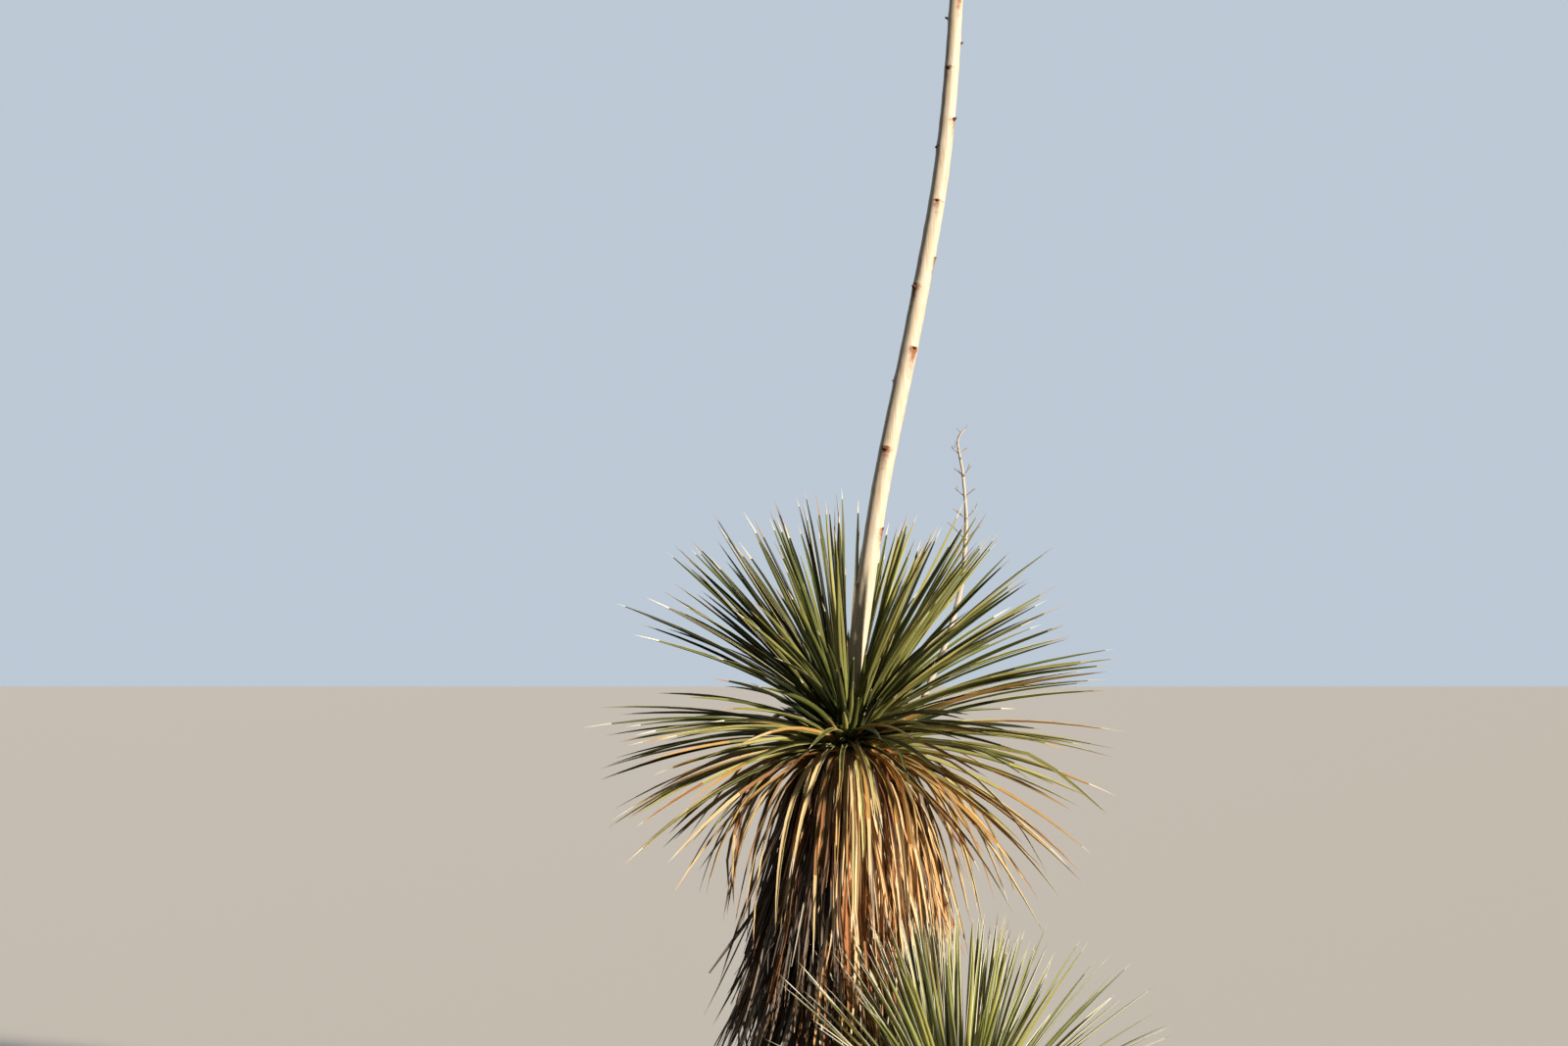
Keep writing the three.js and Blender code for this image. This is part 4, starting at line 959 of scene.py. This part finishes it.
def oldJoints():
    # Short collars round the pole, a little wider than it and pinched at both ends. They stand at the twigs,
    # above them, and on the pole's upper end.
    line, radius = limbLine(oldStalk)
    headLine, headRadius = limbLine(oldHead)
    line, radius = np.vstack([line, headLine]), np.concatenate([radius, headRadius])
    n = np.arange(oldJoint["count"])
    atTwigs = mix(*oldTwig["at"], n / (oldTwig["pairs"] - 1))
    onHead = np.minimum(atTwigs, oldJoint["aboveTwigs"] + oldJoint["aboveStep"] * (n - oldTwig["pairs"]))
    firstOnPole = oldJoint["count"] - oldJoint["onPole"]
    onPole = 1 - oldJoint["poleStep"] * (n - firstOnPole + 1 + oldJoint["poleSpread"] * swing(n, 71))
    place = np.where(n < firstOnPole, onHead + 1, onPole) * (len(headLine) - 1)
    place = np.minimum(place, len(line) - 2).astype(int)
    t = np.linspace(-1, 1, oldJoint["rings"])
    way = unit(line[np.minimum(place + 1, len(line) - 1)] - line[place - 1])
    half = oldJoint["height"] / 2 * varied(oldJoint["heightSpread"], n, 76)
    lines = line[place][:, None] + way[:, None] * (t * half[:, None])[:, :, None]
    swell = oldJoint["radius"] - oldJoint["ends"] + oldJoint["radiusSpread"] * swing(n, 77)
    swell = swell * np.where(n < oldTwig["pairs"], oldJoint["twigJoint"], 1)
    radii = radius[place][:, None] * (oldJoint["ends"] + swell[:, None] * np.cos(t * math.pi / 2)[None, :])
    return rodPart(lines, radii, oldJoint["sides"], (1.0, 0.0, 0.0))


def oldTwigs():
    # pairs of twigs with smaller ones on them, and a few at the top
    k = np.arange(2 * oldTwig["pairs"])
    share = (k // 2) / (oldTwig["pairs"] - 1)
    line, _ = limbLine(oldHead)
    roots = line[(mix(*oldTwig["at"], share) * (len(line) - 1)).astype(int)]
    turn = np.radians(180 * (k % 2) + oldTwig["turnSpread"] * swing(k, 23))
    way = aim(turn, np.radians(oldTwig["rise"] + oldTwig["riseSpread"] * swing(k, 21)))
    length = mix(oldTwig["longest"], oldTwig["shortest"], share) * varied(oldTwig["lengthSpread"], k, 22)
    ends = roots + way * length[:, None]
    parts = [rodsBetween(roots, ends, oldTwig, oldTwig["steps"])]
    for sub in range(subTwig["layers"]):
        seed = 20 * sub + k
        starts = mix(roots, ends, draw(subTwig["at"], seed, 72)[:, None])
        parts.append(shoots(starts, turn + subTwig["turnSpread"] * swing(seed, 73), seed, 74, subTwig))
    n = np.arange(topTwig["count"])
    starts = line[((1 - topTwig["step"] * n) * (len(line) - 1)).astype(int)]
    turn = np.radians(topTwig["firstTurn"] + n * goldenAngle)
    return parts + [shoots(starts, turn, n, 78, topTwig)]


oldNodes = ["old_stalk", "old_stalk_head"]
oldPoles = [unevenRod(limb, (1.0, 0.0, 0.0), poleRelief) for limb in (oldStalk, oldHead)]
oldCorners = sum(rings.shape[1] * rings.shape[2] for rings, _, _ in oldPoles)
oldMarks = {"stain": np.full(oldCorners, 0.2), "weather": np.full(oldCorners, 0.42)}
meshPiece("old_stalk_pole", oldPoles, oldRind, oldNodes, rodEdge, oldMarks)
oldTwigRind = leafBlade("old_twig_rind", 0.8, "#cabda7", "#66564a", fibre=2.5)
oldJointRind = leafBlade("old_joint_rind", 0.85, "#a5907a", "#66523f", fibre=1.5)
meshPiece("old_stalk_twigs", oldTwigs(), oldTwigRind, ["old_stalk_head"], rodEdge)
meshPiece("old_stalk_joints", [oldJoints()], oldJointRind, oldNodes, rodEdge)
print("old stalk made")


# The crown. Its live leaves age from deep green to rust as they sink. A finish is (slot, roughness, light
# fibre, dark fibre), and a plain one has no dark fibre.

crownFinishes = {
    # deep_green is a real deep green made near-black so that it also stands for the shade deep in the crown:
    # partly painted shade
    "deep_green": ("green_leaf", 0.48, "#2a3313", "#131908"),
    "green": ("green_leaf", 0.48, "#60682e", "#3e4a1c"),
    "olive": ("green_leaf", 0.5, "#8f8f4f", "#696d35"),
    "yellow_green": ("spent_leaf", 0.52, "#bbb66c", "#928f4a"),
    "gold": ("spent_leaf", 0.6, "#c49a54", "#9c7538"),
    "rust": ("spent_leaf", 0.65, "#a2703f", "#7c4f2a"),
    "straw": ("spent_leaf", 0.7, "#dcc394", "#b89a66"),
    "foot": ("green_leaf", 0.5, "#78833f"),
    # pale dry tips, lightened further so that they also give the glint of sunlit tips: partly painted
    # highlight
    "pale_glint_tip": ("green_leaf", 0.7, "#ddd5bf"),
    "rosy_tip": ("green_leaf", 0.7, "#b08f70"),
    "margins": ("green_leaf", 0.6, "#c4bb86"),
    "threads": ("green_leaf", 0.7, "#ebe6d4"),
}

# How many of a hundred leaves take each finish, from the centre (age 0) past the middle (1) and the lowest
# (2) to the dead ones that hang (2.5)
crownAges = (0, 0.7, 1, 1.5, 2, 2.5)
crownDeal = {
    "deep_green": (22, 24, 20, 10, 3, 0),
    "green": (34, 32, 28, 16, 4, 0),
    "olive": (34, 34, 34, 30, 11, 0),
    "yellow_green": (10, 10, 15, 22, 20, 5),
    "gold": (0, 0, 3, 14, 30, 35),
    "rust": (0, 0, 0, 5, 12, 14),
    "straw": (0, 0, 0, 3, 20, 46),
}

# by what share of itself each of those changes: paler on the sunny right as painted light, and darker as
# painted shade among the leaves that hang on the left, on the left, and in the ring of leaves that spread
# just above level, which the key light leaves in shade
crownLightAndShadeShifts = {
    "right": {"deep_green": -0.85, "green": -0.55, "olive": 0.2, "yellow_green": 2.0, "gold": 0.5},
    "shadedHangingLeft": {"rust": 2.2, "gold": -0.4, "straw": -0.8},
    "left": {"deep_green": 1.6, "olive": -0.5, "yellow_green": -0.7},
    "ring": {"deep_green": 2.2, "green": 0.6, "olive": -0.55, "yellow_green": -0.75},
}

crown = dict(
    ageSpread=0.2, hungAge=2.4, frontOlder=0.5, front=(0.2, 0.7), frontAge=(1.3, 1.8), ringFrom=(0.7, 0.85),
    ringTo=(1.2, 1.45), rightTo=(0.1, 0.55), leftFrom=(0.5, 0.85), leftTo=(0.9, 1.4), hangingFrom=(0.42, 0.7),
    hangingAge=(1.95, 2.1), olderOuter=((0.8, 1.3, 2), (0, 0.6, 0.95)), oldestOuter=((1.1, 2), (0, 0.6)),
    rosyTips=((0.5, 1.8), (0.2, 0.5)), footEnd=(0.025, 0.05), farStart=(0.42, 0.72), tipStart=(0.87, 0.965),
    rings=5, endRings=3, marginFrom=0.5, marginRings=9, marginRadius=0.65, threads=160, firstThread=5000,
    threadRadius=0.35)

stalkRods = [limbLine(limb, 160) for limb in (flowerStalk, oldStalk, oldHead)]


def crownBodies(leaves, age):
    # the finish of each leaf, from its age, shifted by where it stands: paler on the sunny right as painted
    # light, darker on the left, among the leaves hanging on the left and in the ring just above level as
    # painted shade
    side = leaves["side"]
    ring = smoothstep(*crown["ringFrom"], age) * (1 - smoothstep(*crown["ringTo"], age))
    zones = {
        "right": (1 - smoothstep(*crown["rightTo"], side)) * (1 - ring),
        "shadedHangingLeft": smoothstep(*crown["hangingFrom"], side) * smoothstep(*crown["hangingAge"], age),
        "left": smoothstep(*crown["leftFrom"], side) * (1 - smoothstep(*crown["leftTo"], age)),
        "ring": ring,
    }
    weights = np.stack([np.interp(age, crownAges, shares) for shares in crownDeal.values()], axis=1)
    # painted light on the sunny right, painted shade on the left, in the ring and among the leaves hanging
    # left
    for zone, shifts in crownLightAndShadeShifts.items():
        weights = weights * (1 + zones[zone][:, None] * np.array([shifts.get(name, 0) for name in crownDeal]))
    return dealOut(leaves["index"], 32, weights)


def crownPieces():
    # Each leaf is cut into foot, near part, far part and tip. The far part may be a finish or two older.
    tiers = ((crownUpper, 0, 1), (crownLower, 1, 2), (crownDroop, 2, 2.5), (crownBases, 0.3, 1.35))
    grown = [growLeaves(tier, trunkPlan, stalkRods) for tier, _, _ in tiers]
    ages = [mix(first, last, leaves["share"]) for (_, first, last), leaves in zip(tiers, grown)]
    leaves = joinLeaves(grown)
    index = leaves["index"]
    age = np.where(leaves["hung"], crown["hungAge"], np.concatenate(ages))
    age = age + crown["ageSpread"] * swing(index, 31)
    front = smoothstep(*crown["front"], -np.sin(leaves["azimuth"]))
    age = age + crown["frontOlder"] * front * smoothstep(*crown["frontAge"], age)
    body = crownBodies(leaves, age)
    older = (chance(index, 33) < np.interp(age, *crown["olderOuter"])).astype(int)
    older += (chance(index, 34) < np.interp(age, *crown["oldestOuter"])).astype(int)
    far = np.minimum(body + older, len(crownDeal) - 1)
    footEnd, farStart, tipStart = (
        draw(crown[key], index, 35 + k) for k, key in enumerate(("footEnd", "farStart", "tipStart")))
    nought, one = np.zeros(len(index)), np.ones(len(index))
    parts = {}
    for k, name in enumerate(crownDeal):
        addStretch(parts, name, leaves, body == k, footEnd, farStart, crown["rings"])
        addStretch(parts, name, leaves, far == k, farStart, tipStart, crown["rings"])
    rosy = chance(index, 38) < np.interp(age, *crown["rosyTips"])
    addStretch(parts, "foot", leaves, one > 0, nought, footEnd, crown["endRings"])
    # pale dry tips, partly painted highlight
    addStretch(parts, "pale_glint_tip", leaves, ~rosy, tipStart, one, crown["endRings"])
    addStretch(parts, "rosy_tip", leaves, rosy, tipStart, one, crown["endRings"])
    addFibres(parts, leaves, footEnd, tipStart, crown)
    leafPieces("crown", "crown_leaf", parts, crownFinishes, crownNodes)
    return len(index)


print("crown made,", crownPieces(), "leaves")


# The skirt of dead leaves

skirtFinishes = {
    "straw": ("straw_leaf", 0.75, "#f1d6aa", "#d0ad7e"),
    "gold": ("straw_leaf", 0.75, "#d9ae75", "#ba8c56"),
    "rust": ("straw_leaf", 0.8, "#b57c4c", "#8f5b33"),
    "brown": ("grey_leaf", 0.85, "#7d5a41", "#5e4029"),
    "grey_brown": ("grey_leaf", 0.88, "#968777", "#73665a"),
    "dark_grey": ("grey_leaf", 0.88, "#6e6459", "#51483f"),
    "silver": ("grey_leaf", 0.8, "#d2c8b5", "#b3a792"),
}

# how many of a hundred take each finish, on the sunny side and on the -X side, whose greys and browns are
# weathering and partly painted shade
skirtDeal = {"straw": (45, 3), "gold": (28, 4), "rust": (15, 4), "brown": (4, 16), "grey_brown": (2, 32),
             "dark_grey": (1, 37), "silver": (5, 4)}

skirt = dict(
    weatheredAndShadedFrom=(0.45, 0.76), twoToned=0.35, farStart=(0.35, 0.8), broken=0.42, brokenAt=(0.88, 0.98),
    farLeast=0.1, nearRings=6, farRings=4, bump=0.4)


def skirtPieces():
    # Each leaf is cut into a near part and a far part, which may take another finish. Broken leaves end
    # blunt.
    leaves = joinLeaves([growLeaves(tier, trunkPlan, stalkRods) for tier in (collar, skirtUpper, skirtLower)])
    index = leaves["index"]
    # greyer and darker towards the -X side: weathering and partly painted shade
    weights = sideWeights(skirtDeal, smoothstep(*skirt["weatheredAndShadedFrom"], leaves["side"]))
    body = dealOut(index, 82, weights)
    far = np.where(chance(index, 84) < skirt["twoToned"], dealOut(index, 83, weights), body)
    broken = chance(index, 86) < skirt["broken"]
    stop = np.where(broken, draw(skirt["brokenAt"], index, 87), 1.0)
    farStart = np.minimum(draw(skirt["farStart"], index, 85), stop - skirt["farLeast"])
    parts = {}
    for k, name in enumerate(skirtDeal):
        addStretch(parts, name, leaves, body == k, np.zeros(len(index)), farStart, skirt["nearRings"])
        for ending in (broken, ~broken):
            addStretch(parts, name, leaves, (far == k) & ending, farStart, stop, skirt["farRings"])
    leafPieces("skirt", "dead_leaf", parts, skirtFinishes, skirtNodes, skirt["bump"])
    return len(index)


print("skirt made,", skirtPieces(), "leaves")


# The young offset

offsetFinishes = {
    "deep_green": ("young_leaf", 0.4, "#69743f", "#4d592d"),
    "green": ("young_leaf", 0.42, "#959b4e", "#747e3b"),
    "yellow_green": ("young_leaf", 0.45, "#b6b463", "#959746"),
    "foot": ("young_leaf", 0.5, "#c3c192"),
    "tip": ("young_leaf", 0.7, "#d6cdb4"),
    "margins": ("young_leaf", 0.6, "#ece8d6"),
    "threads": ("young_leaf", 0.7, "#ece8d8"),
}

# how many of a hundred take each finish, away from the trunk and towards it: more yellow-green away from it
# as painted light, and more deep green towards it as painted shade
offsetLightAndShadeDeal = {"deep_green": (14, 40), "green": (40, 35), "yellow_green": (46, 25)}

offset = dict(
    shadedFrom=(0.1, 0.7), footEnd=(0.1, 0.2), tipStart=(0.92, 0.97), rings=8, endRings=3, marginFrom=0.4,
    marginRings=8, marginRadius=1.15, threads=200, firstThread=7000, threadRadius=0.45)


def offsetPieces():
    # each leaf is cut into foot, blade and tip
    leaves = growLeaves(offsetCrown, offsetPlan)
    index = leaves["index"]
    # painted light away from the trunk, painted shade towards it
    body = dealOut(index, 92, sideWeights(offsetLightAndShadeDeal, smoothstep(*offset["shadedFrom"], leaves["side"])))
    footEnd = draw(offset["footEnd"], index, 93)
    tipStart = draw(offset["tipStart"], index, 94)
    nought, one = np.zeros(len(index)), np.ones(len(index))
    parts = {}
    for k, name in enumerate(offsetLightAndShadeDeal):
        addStretch(parts, name, leaves, body == k, footEnd, tipStart, offset["rings"])
    addStretch(parts, "foot", leaves, one > 0, nought, footEnd, offset["endRings"])
    addStretch(parts, "tip", leaves, one > 0, tipStart, one, offset["endRings"])
    addFibres(parts, leaves, footEnd, tipStart, offset)
    leafPieces("offset", "young_leaf", parts, offsetFinishes, offsetNodes)
    return len(index)


print("offset made,", offsetPieces(), "leaves")


# Floor and light. Both the floor and the sky are seen with one strength and light the plant with another.

floorSetup = dict(reach=2500, seen="#d3ccc1", thrownBack="#504c47")  # metres
sky = dict(colour="#d3e0ee", light=0.15, seen=0.78)


def showOtherwise(tree, lit, seen, output):
    rays = addNode(tree, "LightPath")
    both = addNode(tree, "MixShader", {0: (rays, "Is Camera Ray"), 1: (lit, 0), 2: (seen, 0)})
    link(both, 0, tree.nodes[output], "Surface")


def paleFloor():
    # it is seen pale and throws back little light, so the shade stays deep
    reach = floorSetup["reach"]
    mesh = bpy.data.meshes.new("floor")
    corners = [(-reach, -reach, 0), (reach, -reach, 0), (reach, reach, 0), (-reach, reach, 0)]
    mesh.from_pydata(corners, [], [(0, 1, 2, 3)])
    material, tree, shader = newMaterial("matt_studio_floor", {
        "Base Color": toLinear(floorSetup["seen"]), "Roughness": 0.95})
    dark = addNode(tree, "BsdfDiffuse", {"Color": toLinear(floorSetup["thrownBack"])})
    showOtherwise(tree, dark, shader, "Material Output")
    mesh.materials.append(material)
    addObject("floor", mesh)


def addSun(name, azimuth, elevation, strength, softness, colour):
    # azimuth 0 is straight behind the camera and grows towards +X
    data = bpy.data.lights.new(name, "SUN")
    data.energy = strength
    data.angle = math.radians(softness)
    data.color = toLinear(colour)[:3]
    addObject(name, data).rotation_euler = (math.radians(90 - elevation), 0, math.radians(azimuth))


def studioSky():
    world = bpy.data.worlds.new("studio")
    world.use_nodes = True
    scene.world = world
    tree = world.node_tree
    colour = toLinear(sky["colour"])
    lit = tree.nodes["Background"]
    lit.inputs["Color"].default_value = colour
    lit.inputs["Strength"].default_value = sky["light"]
    seen = addNode(tree, "Background", {"Color": colour, "Strength": sky["seen"]})
    showOtherwise(tree, lit, seen, "World Output")


paleFloor()
studioSky()
addSun("key", azimuth=50, elevation=15, strength=6.6, softness=2, colour="#fff2e2")
# soft light on the back, which the key leaves dark
addSun("fill", azimuth=205, elevation=34, strength=1.3, softness=70, colour="#dfe7f2")
scene.view_settings.view_transform = "Standard"
print("floor and light set")
